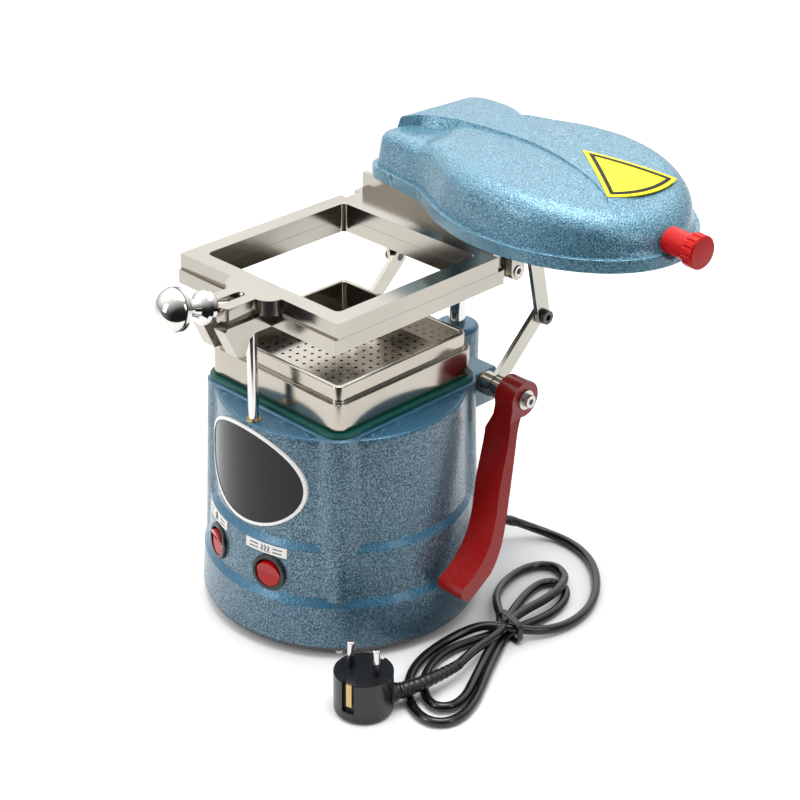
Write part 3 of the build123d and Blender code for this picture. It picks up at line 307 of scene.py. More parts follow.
def baked(obj):
    """Applies an object's modifiers and keeps only the result."""
    graph = bpy.context.evaluated_depsgraph_get()
    mesh = bpy.data.meshes.new_from_object(obj.evaluated_get(graph))
    obj.modifiers.clear()
    obj.data = mesh


def joined_by(obj, operation, others):
    """Boolean of one object with several, which are then removed."""
    for other in others:
        step = obj.modifiers.new(operation, "BOOLEAN")
        step.operation = operation
        step.solver = "EXACT"
        step.object = other
    baked(obj)
    for other in others:
        bpy.data.objects.remove(other)


def closed_ring(name, rows):
    """Ring of four-point sections, the last joined to the first."""
    points = [p for row in rows for p in row]
    faces = []
    for i in range(len(rows)):
        j = (i + 1) % len(rows)
        for k in range(4):
            m = (k + 1) % 4
            faces.append((i * 4 + k, i * 4 + m, j * 4 + m, j * 4 + k))
    return mesh_of(name, points, faces)


def box_mesh(name, low, high, bevel=0.0):
    """Rounded box between two corners in millimetres."""
    bm = bmesh.new()
    bmesh.ops.create_cube(bm, size=1.0)
    for v in bm.verts:
        v.co = [MM * (low[i] + (high[i] - low[i]) * (v.co[i] + 0.5)) for i in range(3)]
    if bevel:
        bmesh.ops.bevel(bm, geom=bm.edges[:], offset=bevel * MM, segments=3, affect="EDGES", profile=0.5)
    mesh = bpy.data.meshes.new(name)
    bm.to_mesh(mesh)
    bm.free()
    return mesh


def rod_mesh(name, start, end, radius, count=48):
    """Cylinder between two points in millimetres."""
    a, b = Vector(start), Vector(end)
    turn = (b - a).to_track_quat("Z", "Y")
    rings = []
    for centre in (a, b):
        ring = []
        for i in range(count):
            t = 2 * math.pi * i / count
            ring.append(tuple(centre + turn @ Vector((radius * math.cos(t), radius * math.sin(t), 0))))
        rings.append(ring)
    return lofted(name, rings)


def rounded_line(points, radii, steps=4):
    """Polyline through 2-D points with its inner corners rounded."""
    out = [points[0]]
    for before, corner, after, radius in zip(points, points[1:], points[2:], radii):
        c = Vector(corner)
        back, on = Vector(before) - c, Vector(after) - c
        reach = min(radius / math.tan(max(back.angle(on) / 2, 0.05)), 0.48 * back.length, 0.48 * on.length)
        first, last = c + back.normalized() * reach, c + on.normalized() * reach
        for i in range(steps + 1):
            t = i / steps
            out.append(tuple(first * (1 - t) ** 2 + c * 2 * t * (1 - t) + last * t * t))
    out.append(points[-1])
    return out


def subdivided(points, longest):
    """The same 2-D line with no span longer than a length."""
    out = [points[0]]
    for a, b in zip(points, points[1:]):
        parts = max(1, math.ceil(math.dist(a, b) / longest))
        out += [tuple(a[k] + (b[k] - a[k]) * i / parts for k in range(2)) for i in range(1, parts + 1)]
    return out


def finished(node, body, material, width=0.5, segments=2, angle=32):
    """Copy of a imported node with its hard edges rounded, which stands for the node."""
    bm = bmesh.new()
    bm.from_mesh(NODES[node].data)
    bmesh.ops.remove_doubles(bm, verts=bm.verts, dist=1e-6)
    bmesh.ops.dissolve_limit(bm, angle_limit=math.radians(0.6), verts=bm.verts, edges=bm.edges)
    mesh = bpy.data.meshes.new(node)
    bm.to_mesh(mesh)
    bm.free()
    obj = bpy.data.objects.new(node + "_finished", mesh)
    bpy.context.scene.collection.objects.link(obj)
    step = obj.modifiers.new("edges", "BEVEL")
    step.width = width * MM
    step.segments = segments
    step.limit_method = "ANGLE"
    step.angle_limit = math.radians(angle)
    step.harden_normals = True
    mesh.shade_smooth()
    mesh.set_sharp_from_angle(angle=math.radians(angle))
    baked(obj)
    paint(obj, material)
    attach(obj, body)
    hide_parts(node)


# ---- body casting ----------------------------------------------------------------------------------
BODY_Z = 9.0
WALL = (
    (98.5, BODY_Z), (97.0, 39), (93.5, 44.5), (91.0, 78.5), (87.6, 83), (85.4, 160), (67, 161.4), (60, 161.8),
)
WALL_ROUND = (1.6, 1.4, 1.6, 1.2, 2.0, 1.0)
DECK_Z, DECK_HALF, DECK_CORNER = 163.0, 67.5, 14.0
DECK_DRAFT = math.tan(math.radians(2.2))
RIB_FILLET, RIB_PROUD = 0.7, 1.2
POST_Y = 113.5


def square_reach(t, z):
    """Distance from the axis to the tapered rounded square at an azimuth and height."""
    half = DECK_HALF + (DECK_Z - z) * DECK_DRAFT
    corner = DECK_CORNER + half - DECK_HALF
    dx, dy = abs(math.cos(t)), abs(math.sin(t))
    reach = half / max(dx, dy)
    if reach * min(dx, dy) <= half - corner:
        return reach
    flat = half - corner
    along = flat * (dx + dy)
    return along + math.sqrt(along * along - 2 * flat * flat + corner * corner)


def smooth_max(a, b, k):
    """Larger of two values, with the step between them rounded over about k."""
    return max(a, b) + max(k - abs(a - b), 0.0) ** 2 / (4 * k)


DECK_EDGE = ((1.2, DECK_Z), (0.4, DECK_Z), (0.0, DECK_Z - 0.4))    # inset and height
CAVITY = (
    (98.0, BODY_Z), (94, BODY_Z), (93, 38), (88, 46), (86.5, 76), (82, 86), (81, 148), (70, 154),
)


def body_shell():
    """Barrel with two ledges and four corner ribs that run up into the square deck, hollow below."""
    count = 384
    angles = [2 * math.pi * i / count for i in range(count)]
    outer = subdivided(rounded_line(WALL, WALL_ROUND), 5.0)
    rings = []
    for inset, z in DECK_EDGE:
        ring = []
        for t in angles:
            reach = square_reach(t, z) - inset
            ring.append((reach * math.cos(t), reach * math.sin(t), z))
        rings.append(ring)
    for r, z in reversed(outer):
        ring = []
        for t in angles:
            reach = smooth_max(r, square_reach(t, z) + RIB_PROUD, RIB_FILLET)
            ring.append((reach * math.cos(t), reach * math.sin(t), z))
        rings.append(ring)
    for r, z in CAVITY:
        rings.append([(r * math.cos(t), r * math.sin(t), z) for t in angles])
    return lofted("body_casting_shell", rings)


def tower():
    """Rear tower that carries the post, with a rounded top."""
    profile = rounded_line(((16, BODY_Z), (16, 166), (0.5, 166)), (5,), 6)
    angles = [2 * math.pi * i / 64 for i in range(64)]
    rings = []
    for r, z in profile:
        rings.append([(r * math.cos(t), POST_Y + r * math.sin(t), z) for t in angles])
    return lofted("tower", rings)


def wall_frame(azimuth, radius, z, lean):
    """Matrix of a plane on the body's wall: X round the body, Y up the wall and Z out of it."""
    a, t = math.radians(azimuth), math.radians(lean)
    out = Vector((math.cos(a) * math.cos(t), math.sin(a) * math.cos(t), math.sin(t)))
    side = Vector((-math.sin(a), math.cos(a), 0))
    rise = out.cross(side)
    origin = Vector((radius * math.cos(a), radius * math.sin(a), z))
    return Matrix(
        (
            (side.x, rise.x, out.x, origin.x),
            (side.y, rise.y, out.y, origin.y),
            (side.z, rise.z, out.z, origin.z),
            (0, 0, 0, 1),
        )
    )


SWITCH_AZIMUTHS = {"right": -75.5, "left": -109.1}
SWITCH_R, SWITCH_Z, SWITCH_LEAN = 91.3, 57, 4.3    # centre of a switch on the wall, and its tilt
SWITCH_HOLE_R = 11.8
SWITCH_HOLE_ENDS = (-14, 8)      # into and out of the wall
BRACKET_IN, BRACKET_OUT = 30, 59                   # inner and outer ends of the shaft brackets
BRACKET_Y, BRACKET_Z = (60, 92), (134, 160)
SHAFT_Y, SHAFT_Z, SHAFT_BORE_R, SHAFT_BORE_END = 79.5, 152.5, 6.0, 62
ROD_Y, ROD_BORE_R = -79.5, 5.0
POST_BORE_R = 6.02


def plain(mesh):
    """Throwaway object of a mesh, for a boolean."""
    return new_object(mesh.name, mesh, BLUE)


def body_piece():
    """Casting with its tower, brackets, channel, bores and switch holes."""
    body = new_object("body_casting_finished", body_shell(), BLUE)
    adds = [plain(tower()), plain(box_mesh("web", (-14, 76, BODY_Z), (14, POST_Y, 145), 1.5))]
    for side in (-1, 1):
        low, high = sorted((side * BRACKET_IN, side * BRACKET_OUT))
        start, end = (low, BRACKET_Y[0], BRACKET_Z[0]), (high, BRACKET_Y[1], BRACKET_Z[1])
        adds.append(plain(box_mesh("bracket", start, end, 2.0)))
    joined_by(body, "UNION", adds)
    shaft_ends = [(side * SHAFT_BORE_END, SHAFT_Y, SHAFT_Z) for side in (-1, 1)]
    cuts = [
        plain(box_mesh("channel", (-34, 73, 145.5), (34, 89, 180))),
        plain(rod_mesh("shaft_bore", *shaft_ends, SHAFT_BORE_R)),
        plain(rod_mesh("rod_bore", (0, ROD_Y, 110), (0, ROD_Y, 175), ROD_BORE_R)),
        plain(rod_mesh("post_bore", (0, POST_Y, 100), (0, POST_Y, 180), POST_BORE_R)),
    ]
    for azimuth in SWITCH_AZIMUTHS.values():
        face = wall_frame(azimuth, SWITCH_R, SWITCH_Z, SWITCH_LEAN)
        ends = [tuple(face @ Vector((0, 0, depth))) for depth in SWITCH_HOLE_ENDS]
        cuts.append(plain(rod_mesh("switch_hole", *ends, SWITCH_HOLE_R)))
    joined_by(body, "DIFFERENCE", cuts)
    body.data.shade_smooth()
    body.data.set_sharp_from_angle(angle=math.radians(38))
    paint(body, BODY_BLUE)
    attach(body, "root")
    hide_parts("body_casting")


body_piece()

# ---- pictograms on the switch labels ---------------------------------------------------------------
LABEL_AZIMUTHS = {"right": -77.6, "left": -112.0}
LABEL_Z, LABEL_R, LABEL_LEAN = 74.1, 91.9, 0.0757
STROKE = 0.62


def on_label(azimuth, x, y, proud):
    """World point at a place on a label, a little way off its surface."""
    a = math.radians(azimuth) + x / LABEL_R
    r = LABEL_R - LABEL_LEAN * y + proud
    return (r * math.cos(a), r * math.sin(a), LABEL_Z + y)


def strokes(name, azimuth, lines):
    """Thin printed lines: each is a list of places on the label and says if it closes on itself."""
    points, faces = [], []
    for line, closed in lines:
        count, first = len(line), len(points)
        for i, (x, y) in enumerate(line):
            before = line[(i - 1) % count] if closed or i else line[0]
            after = line[(i + 1) % count] if closed or i < count - 1 else line[-1]
            away = Vector((before[1] - after[1], after[0] - before[0])).normalized() * (STROKE / 2)
            for side, proud in ((-1, -0.05), (1, -0.05), (1, 0.14), (-1, 0.14)):
                points.append(on_label(azimuth, x + side * away.x, y + side * away.y, proud))
        for i in range(count if closed else count - 1):
            a, b = first + 4 * i, first + 4 * ((i + 1) % count)
            faces += [(a + k, a + (k + 1) % 4, b + (k + 1) % 4, b + k) for k in range(4)]
        if not closed:
            last = first + 4 * (count - 1)
            faces += [(first, first + 1, first + 2, first + 3), (last, last + 1, last + 2, last + 3)]
    mark = new_object(name, mesh_of(name, points, faces), INK, 30)
    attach(mark, "root")


def arc(x, y, radius, start, end, count):
    """Points of an arc on a label, with angles in degrees."""
    turns = [math.radians(start + (end - start) * i / count) for i in range(count + 1)]
    return [(x + radius * math.cos(t), y + radius * math.sin(t)) for t in turns]


def waves(x):
    """Rising warm air: an upright wavy line."""
    return [(x + 0.55 * math.sin(1.9 * y), y) for y in np.linspace(-2.3, 2.3, 25)]


HEAT = [(waves(x), False) for x in (-2.6, 0.0, 2.6)]
FAN = [(arc(0, 0, 2.4, 0, 345, 23), True)]
FAN += [(arc(0.75 * math.cos(t), 0.75 * math.sin(t), 0.75, math.degrees(t) - 180, math.degrees(t), 8), False)
        for t in (0.0, 2.094, 4.189)]
UNDERLINES = [([(low, y), (high, y)], False) for low, high in ((-13, -6), (6, 13)) for y in (-1.3, 1.3)]
strokes("label_marks_right", LABEL_AZIMUTHS["right"], HEAT + UNDERLINES)
strokes("label_marks_left", LABEL_AZIMUTHS["left"], FAN + UNDERLINES)

# ---- heater head -----------------------------------------------------------------------------------
HEAD_YAW = math.radians(-5.0)
HEAD_SIDE = ((-26, 53), (0, 54.2), (20, 56.3), (34, 61.7), (53, 69.8), (67, 73.5), (85, 76.7))
HEAD_REAR, HEAD_CORNER = -41.0, 15.0
NOSE_U, NOSE_A, NOSE_B = 95.0, 103.0, 77.0
CROWN = ((-60, 312), (-41, 314.5), (0, 318), (60, 320.5), (110, 320), (150, 316), (180, 309), (215, 296))
RIM_TOP = 288.0
SHELL_INSET = 3.0                # of the shell's wall from the head's outline
SHOULDER = (16.0, 14.0)          # run and drop of the rounded shoulder
SHOULDER_REAR = (9.0, 8.0)
WALL_RUN = 2.2                   # lean of the wall below the shoulder
SPINE_RISE = ((-60, 2.4), (10, 2.4), (60, 1.7), (110, 1.3), (200, 1.0))
REAR_DROP = 3.6                  # the rear lobe lies lower than the front
SPINE_NEAR = (
    (-31, -29), (-28, -24), (-22, -16), (-13, -11.5), (-3, -8.5), (10, -6), (24, -4), (39, -2), (77, -1),
    (122, -8), (149, -16), (168, -26),
)
SPINE_FAR = (
    (-31, 33), (-28, 37), (-22, 39), (-13, 39.5), (-3, 39), (10, 37), (24, 32), (39, 25), (77, 15),
    (105, 28), (140, 38), (160, 40),
)
KNOB_Z, KNOB_SEAT_R = 295.0, 11.5
SPINE_LEAN = 0.40                # run of the spine's sides for each millimetre of drop


def head_point(u, v, z):
    """World point of a place along and across the head."""
    c, s = math.cos(HEAD_YAW), math.sin(HEAD_YAW)
    return (u * c - v * s, POST_Y + u * s + v * c, z)


def catmull(points, steps):
    """Smooth open line through 2-D points."""
    ends = [tuple(2 * a - b for a, b in zip(points[0], points[1]))]
    tail = [tuple(2 * a - b for a, b in zip(points[-1], points[-2]))]
    padded = ends + list(points) + tail
    out = []
    for p0, p1, p2, p3 in zip(padded, padded[1:], padded[2:], padded[3:]):
        for i in range(steps):
            t = i / steps
            out.append(tuple(
                0.5 * (
                    2 * b + (c - a) * t + (2 * a - 5 * b + 4 * c - d) * t * t
                    + (3 * b - a - 3 * c + d) * t ** 3
                )
                for a, b, c, d in zip(p0, p1, p2, p3)
            ))
    out.append(points[-1])
    return out


def head_line(inset):
    """Closed plan outline of the head, inset all round, from the rear corner round the nose and back."""
    radius = HEAD_CORNER - inset / 2
    side = [(u, v - inset) for u, v in HEAD_SIDE]
    half_rear = side[0][1]
    rear = HEAD_REAR + inset
    half = []
    for i in range(9):
        t = math.pi / 2 * i / 8
        half.append((rear + radius - radius * math.cos(t), half_rear - radius + radius * math.sin(t)))
    half += catmull([(rear + radius, half_rear)] + side[1:] + [(NOSE_U, NOSE_B - inset)], 8)[1:]
    for i in range(1, 41):
        t = math.pi / 2 * (1 - i / 40)
        half.append((NOSE_U + (NOSE_A - inset) * math.cos(t), (NOSE_B - inset) * math.sin(t)))
    return half + [(u, -v) for u, v in reversed(half[:-1])]


def crown_height(u):
    """Height of the head's middle line at a place along it."""
    line = catmull(CROWN, 12)
    for (ua, za), (ub, zb) in zip(line, line[1:]):
        if ua <= u <= ub:
            return za + (zb - za) * (u - ua) / (ub - ua)
    return line[-1][1]


SHELL_LINE = np.array(head_line(SHELL_INSET))


def edge_distance(u, v):
    """Distance from a point of the head's plan to the shell's outline."""
    a = SHELL_LINE
    b = np.roll(a, -1, axis=0)
    span = b - a
    t = np.clip(((np.array((u, v)) - a) * span).sum(1) / (span * span).sum(1).clip(1e-9), 0, 1)
    near = a + span * t[:, None]
    return float(np.hypot(near[:, 0] - u, near[:, 1] - v).min())


def level(line, u):
    """Value of a 2-D line at a place along it."""
    return float(np.interp(u, [p[0] for p in line], [p[1] for p in line]))


def head_top(u, v):
    """Height of the head's top beside the spine: a lower rear lobe, a valley, then the crowned front."""
    side = abs(v)
    valley = 4 + 0.16 * side
    t = min(max((valley + 10 - u) / 20, 0.0), 1.0)
    drop = REAR_DROP * t * t * (3 - 2 * t) + 1.2 * (side / 70) ** 2
    scoop = 2.6 * math.exp(-(((u - valley + 20) / 13) ** 2) - (((side - 19) / 13) ** 2))
    groove = 2.2 * math.exp(-(((u - valley) / 8) ** 2)) * min(max((side - 16) / 14, 0.0), 1.0)
    return crown_height(u) - drop - scoop - groove


def head_height(u, v):
    """Height of the head's skin: a steep wall, a rounded shoulder and a crowned top."""
    d = edge_distance(u, v)
    top = head_top(u, v)
    front = min(max((u + 5) / 45, 0.0), 1.0)
    run, drop = (rear + (nose - rear) * front for rear, nose in zip(SHOULDER_REAR, SHOULDER))
    if d < WALL_RUN:
        return RIM_TOP - 0.5 + (top - drop - RIM_TOP + 0.5) * d / WALL_RUN
    if d < WALL_RUN + run:
        t = 1 - (d - WALL_RUN) / run
        return top - drop * (1 - math.sqrt(max(0.0, 1 - t * t)))
    return top


def head_shell_mesh():
    """Skin lofted from the outline to a line along the middle, closed underneath."""
    outline = head_line(SHELL_INSET)
    spine_start, spine_end = -12.0, 150.0
    fractions = [0, 0.004, 0.010, 0.018, 0.028, 0.040, 0.052, 0.066, 0.082, 0.10, 0.12]
    fractions += [0.142, 0.166, 0.192, 0.22, 0.25, 0.283, 0.32]
    fractions += [0.32 + 0.68 * i / 24 for i in range(1, 25)]
    rings = []
    for f in fractions:
        ring = []
        for u, v in outline:
            middle = min(max(u, spine_start), spine_end)
            pu, pv = u + (middle - u) * f, v * (1 - f)
            ring.append((pu, pv))
        rings.append(ring)
    base = [head_point(u, v, RIM_TOP - 3) for u, v in outline]
    points = [base] + [[head_point(u, v, head_height(u, v)) for u, v in ring] for ring in rings]
    count = len(outline)
    flat = [p for ring in points for p in ring]
    faces = [list(range(count))]
    for r in range(len(points) - 1):
        for i in range(count):
            j = (i + 1) % count
            faces.append((r * count + i, r * count + j, (r + 1) * count + j, (r + 1) * count + i))
    return mesh_of("head_shell", flat, faces)


def spine_mesh():
    """Raised spine from over the post to the nose, with leaning sides and a small round along its edge."""
    near, far = catmull(SPINE_NEAR, 8), catmull(SPINE_FAR, 8)
    across = [0.0, 0.0, 0.006, 0.02] + [0.02 + 0.96 * i / 22 for i in range(1, 22)] + [0.98, 0.994, 1.0, 1.0]
    last = len(across) - 1
    columns = 110

    def along(line, f):
        place = f * (len(line) - 1)
        k = min(int(place), len(line) - 2)
        return tuple(a + (b - a) * (place - k) for a, b in zip(line[k], line[k + 1]))

    rings = []
    for i in range(columns + 1):
        f = i / columns
        a, b = along(near, f), along(far, f)
        fade = min(1.0, (columns - i) / 4)
        rear = {0: 1.6, 1: 0.5, 2: 0.1}.get(i, 0.0)
        row = []
        for k, g in enumerate(across):
            u, v = (p + (q - p) * g for p, q in zip(a, b))
            skin = head_height(u, v)
            top = min(crown_height(u) + level(SPINE_RISE, u) * fade, skin + 9) - rear
            edge = min(k, last - k)
            if edge == 0:
                fall = max(top - skin, 0.3) + 1.5
                v += fall * SPINE_LEAN * (-1 if k == 0 else 1)
                top -= fall
            row.append(head_point(u, v, top - {1: 0.6, 2: 0.15}.get(edge, 0.0)))
        rings.append(row)
    return lofted("head_spine", rings)


DECAL_APEX, DECAL_RADIUS, DECAL_ARC = (100.0, 15.0), 66.0, (-31.0, 21.0)


def decal_height(u):
    """Height of the decal's plane, just above the spine."""
    return crown_height(u) + level(SPINE_RISE, u) + 0.35


def decal(name, radii, arc, thick):
    """Thin sector of the decal between two radii, following the top of the spine."""
    rings = []
    for i in range(13):
        r = radii[0] + (radii[1] - radii[0]) * i / 12
        low, high = [], []
        for j in range(17):
            angle = math.radians(arc[0] + (arc[1] - arc[0]) * j / 16)
            u = DECAL_APEX[0] + r * math.cos(angle)
            v = DECAL_APEX[1] + r * math.sin(angle)
            low.append(head_point(u, v, decal_height(u) - 0.6))
            high.append(head_point(u, v, decal_height(u) + thick))
        rings.append(low + high[::-1])
    return lofted(name, rings)


def sector_point(r, angle):
    """Point of the decal's plane by distance from the apex and heading in degrees."""
    a = math.radians(angle)
    return DECAL_APEX[0] + r * math.cos(a), DECAL_APEX[1] + r * math.sin(a)


def decal_line():
    """Printed border: a closed ribbon set in from the decal's edge."""
    inset, wide = 2.6, 2.6
    first, last = DECAL_ARC

    def corner(gap):
        start = gap / math.sin(math.radians((last - first) / 2))
        reach = DECAL_RADIUS - gap
        swing = math.degrees(math.asin(gap / reach))
        loop = []
        near, far = sector_point(reach, first + swing), sector_point(reach, last - swing)
        apex = sector_point(start, (first + last) / 2)
        for i in range(12):
            loop.append(tuple(a + (b - a) * i / 12 for a, b in zip(apex, near)))
        for i in range(16):
            loop.append(sector_point(reach, first + swing + (last - first - 2 * swing) * i / 16))
        for i in range(12):
            loop.append(tuple(a + (b - a) * i / 12 for a, b in zip(far, apex)))
        return loop

    outer, inner = corner(inset), corner(inset + wide)
    rows = []
    for (ou, ov), (iu, iv) in zip(outer, inner):
        rows.append([
            head_point(ou, ov, decal_height(ou) - 0.1), head_point(iu, iv, decal_height(iu) - 0.1),
            head_point(iu, iv, decal_height(iu) + 0.45), head_point(ou, ov, decal_height(ou) + 0.45),
        ])
    return closed_ring("head_decal_line", rows)


def head_pieces():
    """Shell with its spine and knob seat, the yellow label and its border line."""
    shell = new_object("head_shell_finished", head_shell_mesh(), BLUE, 50)
    spine = new_object("head_spine", spine_mesh(), BLUE, 50)
    joined_by(shell, "UNION", [spine])
    seat, out = head_point(194, 0, KNOB_Z), head_point(230, 0, KNOB_Z)
    cut = new_object("knob_seat", rod_mesh("knob_seat", seat, out, KNOB_SEAT_R), BLUE)
    joined_by(shell, "DIFFERENCE", [cut])
    shell.data.shade_smooth()
    shell.data.set_sharp_from_angle(angle=math.radians(42))
    paint(shell, BLUE)
    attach(shell, "head_body")
    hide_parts("head_shell")
    sector = decal("head_decal", (0.5, DECAL_RADIUS), DECAL_ARC, 0.2)
    label = new_object("head_decal_finished", sector, YELLOW)
    border = new_object("head_decal_line", decal_line(), INK)
    for piece in (label, border):
        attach(piece, "head_body")
        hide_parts("head_decal")


head_pieces()

# ---- frames, tray, linkage and lever ---------------------------------------------------------------
finished("upper_frame", "upper_frame_body", NICKEL, 0.5)
finished("lower_frame", "carriage_body", NICKEL, 0.5)
finished("carriage", "carriage_body", NICKEL, 0.6)
finished("vacuum_tray", "root", TRAY, 0.6)
finished("tray_gasket", "root", GREEN, 0.6)
finished("handle_lever", "lever_body", LEVER_RED, 0.9, 3)
finished("head_knob", "head_body", KNOB_RED, 0.25)
finished("head_base", "head_body", BLUE, 0.9, 3)
for side in ("left", "right"):
    finished("crank_" + side, "lever_body", STEEL, 0.3)
    finished("upper_link_" + side, "link_body", STEEL, 0.3)
finished("plug_body", "root", BLACK, 0.8, 3)

# ---- mains cord ------------------------------------------------------------------------------------
CORD_D = 6.4
FREE_RUN = (
    (38.0, 104.5, 20), (42.5, 118.0, 19.2), (48.2, 130.5, 13.5), (56.5, 140.5, 7.4), (68, 147.5, 4.0),
    (82.5, 149.8, 3.3), (97.5, 147.6, 3.3), (111.5, 141.6, 3.3), (124, 132.3, 3.3), (134.6, 121, 3.3),
    (143.5, 108.5, 3.3), (150, 95, 3.4), (153.6, 80.5, 3.6), (153.8, 66, 4), (150.4, 52, 5), (144, 40, 7),
    (136.5, 30.5, 9.7),
)
HANK_TURNS = (
    (127, 24.5, 9.9), (119, 17, 9.9), (113, 3, 7.5), (109.5, -15, 4.2), (111, -33, 3.3), (118, -51, 3.3),
    (130, -66, 3.3), (145, -76.5, 3.3), (160, -80, 3.3), (171, -74, 3.3), (174, -60, 3.3), (169, -43, 3.3),
    (160, -26, 3.3), (150.5, -9, 3.3), (142, 8, 3.3), (134.5, 22, 3.3),
    (131.5, 33, 3.3), (133.5, 45, 3.3), (136, 59, 3.3), (136.5, 74, 3.3), (132.5, 89, 3.3), (124.5, 100, 3.3),
    (113.5, 103, 3.3), (106.5, 95, 3.3), (107, 81, 3.3), (111.5, 65, 3.3), (117.5, 49, 3.3), (122.5, 36, 3.3),
    (125.5, 24, 3.3), (122.5, 10, 3.3), (118, -7, 3.3), (118, -24, 3.3), (123, -40, 3.3), (133, -54, 3.3),
    (146, -64, 3.8), (157, -66, 4.5), (163.5, -58, 4.5), (161.5, -44, 3.6), (153, -27, 3.3), (144, -9, 3.3),
    (136, 8, 5), (130, 22, 9.7),
    (122, 34, 9.9), (109.5, 43, 9.9), (96.5, 57, 6), (87.5, 75, 3.6), (84.5, 94, 3.3), (88.5, 110, 3.3),
    (99, 118, 3.3), (111.5, 113, 4), (121, 101, 8.5), (127, 87, 9.8), (128.5, 71, 9.8), (127.5, 55, 9.8),
    (128, 40, 9.8), (132, 27, 9.9), (134, 12, 9.4),
    (134.5, -4, 9.4), (137.5, -17, 10.5), (140, -28, 10.5),
)


def nurbs_curve(name, points, diameter):
    """Round tube along a NURBS line whose control points are given in millimetres."""
    curve = bpy.data.curves.new(name, "CURVE")
    curve.dimensions = "3D"
    curve.bevel_depth = diameter * MM / 2
    curve.bevel_resolution = 6
    curve.resolution_u = 8
    curve.use_fill_caps = True
    spline = curve.splines.new("NURBS")
    spline.points.add(len(points) - 1)
    for slot, (x, y, z) in zip(spline.points, points):
        slot.co = (x * MM, y * MM, z * MM, 1.0)
    spline.order_u = 3
    spline.use_endpoint_u = True
    obj = bpy.data.objects.new(name, curve)
    bpy.context.scene.collection.objects.link(obj)
    return obj


PLUG_RELIEF = (
    (131.5, -81.6, 11.2, 5.9), (135.2, -75.5, 11.6, 5.5), (138, -66, 12, 5.0), (139.8, -55, 12, 4.5),
    (140.6, -43, 11.4, 4.1), (140.4, -32, 10.7, 3.7), (139.9, -27, 10.5, 3.5),
)
EXIT_RELIEF = (
    (37.2, 102.5, 20.1, 5.4), (38.4, 105.6, 19.95, 5.3), (40.15, 110.8, 19.45, 4.9), (42.1, 116.2, 18.7, 4.5),
    (43.8, 120.6, 17.65, 4.2), (45.35, 124.25, 16.35, 3.9), (48.5, 130.2, 13.45, 3.5),
)
PLUG_AT, PIN_TURN, PIN_HALF = (120.0, -96.0), math.radians(14.0), 9.5
TIE_AT, TIE_HALF, TIE_WIDE = (132.0, 32.0, 8.3), (11.6, 7.4), 4.6


def tapered_relief(name, stations, ribs):
    """Ribbed sleeve along stations of x, y, z and radius, tapering towards the cord."""
    steps = 5 * ribs
    place = np.linspace(0, len(stations) - 1, steps + 1)
    columns = [np.interp(place, range(len(stations)), [row[k] for row in stations]) for k in range(4)]
    line = np.array(columns[:3]).T
    rings = []
    for i in range(steps + 1):
        along = Vector(line[min(i + 1, steps)] - line[max(i - 1, 0)]).normalized()
        side = along.cross(Vector((0, 0, 1))).normalized()
        rise = side.cross(along)
        groove = 0.45 if i % 5 in (3, 4) and 8 < i < steps - 4 else 0.0
        r = columns[3][i] - groove
        ring = []
        for k in range(24):
            a = 2 * math.pi * k / 24
            ring.append(tuple(Vector(line[i]) + side * (r * math.cos(a)) + rise * (r * math.sin(a))))
        rings.append(ring)
    sleeve = new_object(name, lofted(name, rings), BLACK)
    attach(sleeve, "root")
    return sleeve


def tie_band():
    """Flat band pulled round the crossing of the hank."""
    rows = []
    for i in range(48):
        a = 2 * math.pi * i / 48
        c, s = math.cos(a), math.sin(a)
        x = math.copysign(abs(c) ** 0.55, c)
        z = math.copysign(abs(s) ** 0.55, s)
        row = []
        for grow, side in ((0, -1), (0, 1), (0.8, 1), (0.8, -1)):
            row.append((
                TIE_AT[0] + (TIE_HALF[0] + grow) * x,
                TIE_AT[1] + side * TIE_WIDE / 2 - 0.25 * (x * TIE_HALF[0]),
                TIE_AT[2] + (TIE_HALF[1] + grow) * z,
            ))
        rows.append(row)
    return closed_ring("cord_tie_band", rows)


reliefs = [tapered_relief("plug_relief", PLUG_RELIEF, 15), tapered_relief("exit_relief", EXIT_RELIEF, 8)]
band = new_object("cord_tie_band", tie_band(), BLACK, 30)
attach(band, "root")
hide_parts("cord_tie")
for side in (-1, 1):
    x = PLUG_AT[0] + side * PIN_HALF * math.cos(PIN_TURN)
    y = PLUG_AT[1] + side * PIN_HALF * math.sin(PIN_TURN)
    name = "pin_sleeve_" + ("left" if side < 0 else "right")
    sleeve = new_object(name, rod_mesh(name, (x, y, 29.6), (x, y, 39), 2.52), BLACK)
    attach(sleeve, "root")

cord = nurbs_curve("mains_cord", FREE_RUN + HANK_TURNS, CORD_D)
paint(cord, CORD)
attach(cord, "root")
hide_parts("power_cord", "cord_hank")

# ---- floor and light -------------------------------------------------------------------------------
TABLE_EDGE = 0.42                # from the object to the table's edge towards the camera
TABLE_REACH = 6.0
toward = Vector((CAM_BACK.x, CAM_BACK.y, 0)).normalized()
across = Vector((-toward.y, toward.x, 0))
table_corners = [
    toward * near + across * side + Vector((0, 0, -0.0002))
    for near, side in ((TABLE_EDGE, -TABLE_REACH), (TABLE_EDGE, TABLE_REACH),
                       (-TABLE_REACH, TABLE_REACH), (-TABLE_REACH, -TABLE_REACH))
]
floor_mesh = bpy.data.meshes.new("floor")
floor_mesh.from_pydata(table_corners, [], [(0, 1, 2, 3)])
floor = bpy.data.objects.new("floor", floor_mesh)
bpy.context.scene.collection.objects.link(floor)
floor_shader = Shader("floor_white", (0.80, 0.80, 0.80), 0.6)
paint(floor, floor_shader.mat)

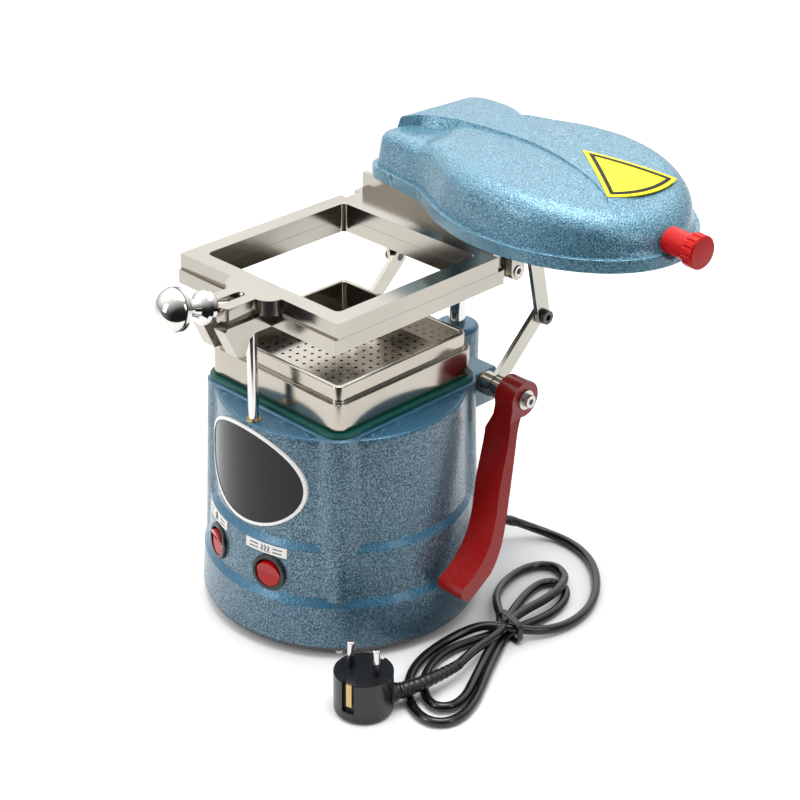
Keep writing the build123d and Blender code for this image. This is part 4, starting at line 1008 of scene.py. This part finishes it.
world = bpy.data.worlds.new("world")
bpy.context.scene.world = world
bpy.context.scene.view_settings.view_transform = "Standard"
world.use_nodes = True
sky = world.node_tree
direction = sky.nodes.new("ShaderNodeTexCoord").outputs["Generated"]
split = sky.nodes.new("ShaderNodeSeparateXYZ")
sky.links.new(direction, split.inputs[0])
height_ramp = sky.nodes.new("ShaderNodeValToRGB")
sky.links.new(split.outputs["Z"], height_ramp.inputs["Fac"])
SKY_STOPS = ((0.0, 0.30), (0.20, 0.55), (0.45, 0.95), (0.80, 1.15), (1.0, 1.2))
for index, (place, brightness) in enumerate(SKY_STOPS):
    stops = height_ramp.color_ramp.elements
    stop = stops[index] if index < 2 else stops.new(place)
    stop.position = place
    stop.color = (brightness, brightness, brightness, 1.0)
BACKDROP = Vector((-0.90, 0.36, 0.34)).normalized()
facing = sky.nodes.new("ShaderNodeVectorMath")
facing.operation = "DOT_PRODUCT"
facing.inputs[1].default_value = BACKDROP
sky.links.new(direction, facing.inputs[0])
side = sky.nodes.new("ShaderNodeMapRange")
side.inputs["From Min"].default_value = -0.7
side.inputs["From Max"].default_value = 0.8
side.inputs["To Min"].default_value = 0.06
side.inputs["To Max"].default_value = 2.0
sky.links.new(facing.outputs["Value"], side.inputs["Value"])
sky.links.new(side.outputs["Result"], sky.nodes["Background"].inputs["Strength"])
sky.links.new(height_ramp.outputs["Color"], sky.nodes["Background"].inputs["Color"])


def softbox(name, position, target, size, power):
    """Rectangular area light aimed at a point."""
    data = bpy.data.lights.new(name, "AREA")
    data.shape = "RECTANGLE"
    data.size, data.size_y = size
    data.energy = power
    light = bpy.data.objects.new(name, data)
    light.location = position
    direction = Vector(target) - Vector(position)
    light.rotation_euler = direction.to_track_quat("-Z", "Y").to_euler()
    bpy.context.scene.collection.objects.link(light)


softbox("overhead", (0.1, 0.1, 1.5), (0, 0, 0.1), (1.0, 1.0), 17)
softbox("left_front", (-0.35, -1.5, 0.75), (0, 0, 0.15), (0.45, 0.9), 7)
softbox("right_side", (1.5, 0.1, 0.9), (0.05, 0, 0.2), (0.35, 0.9), 4)
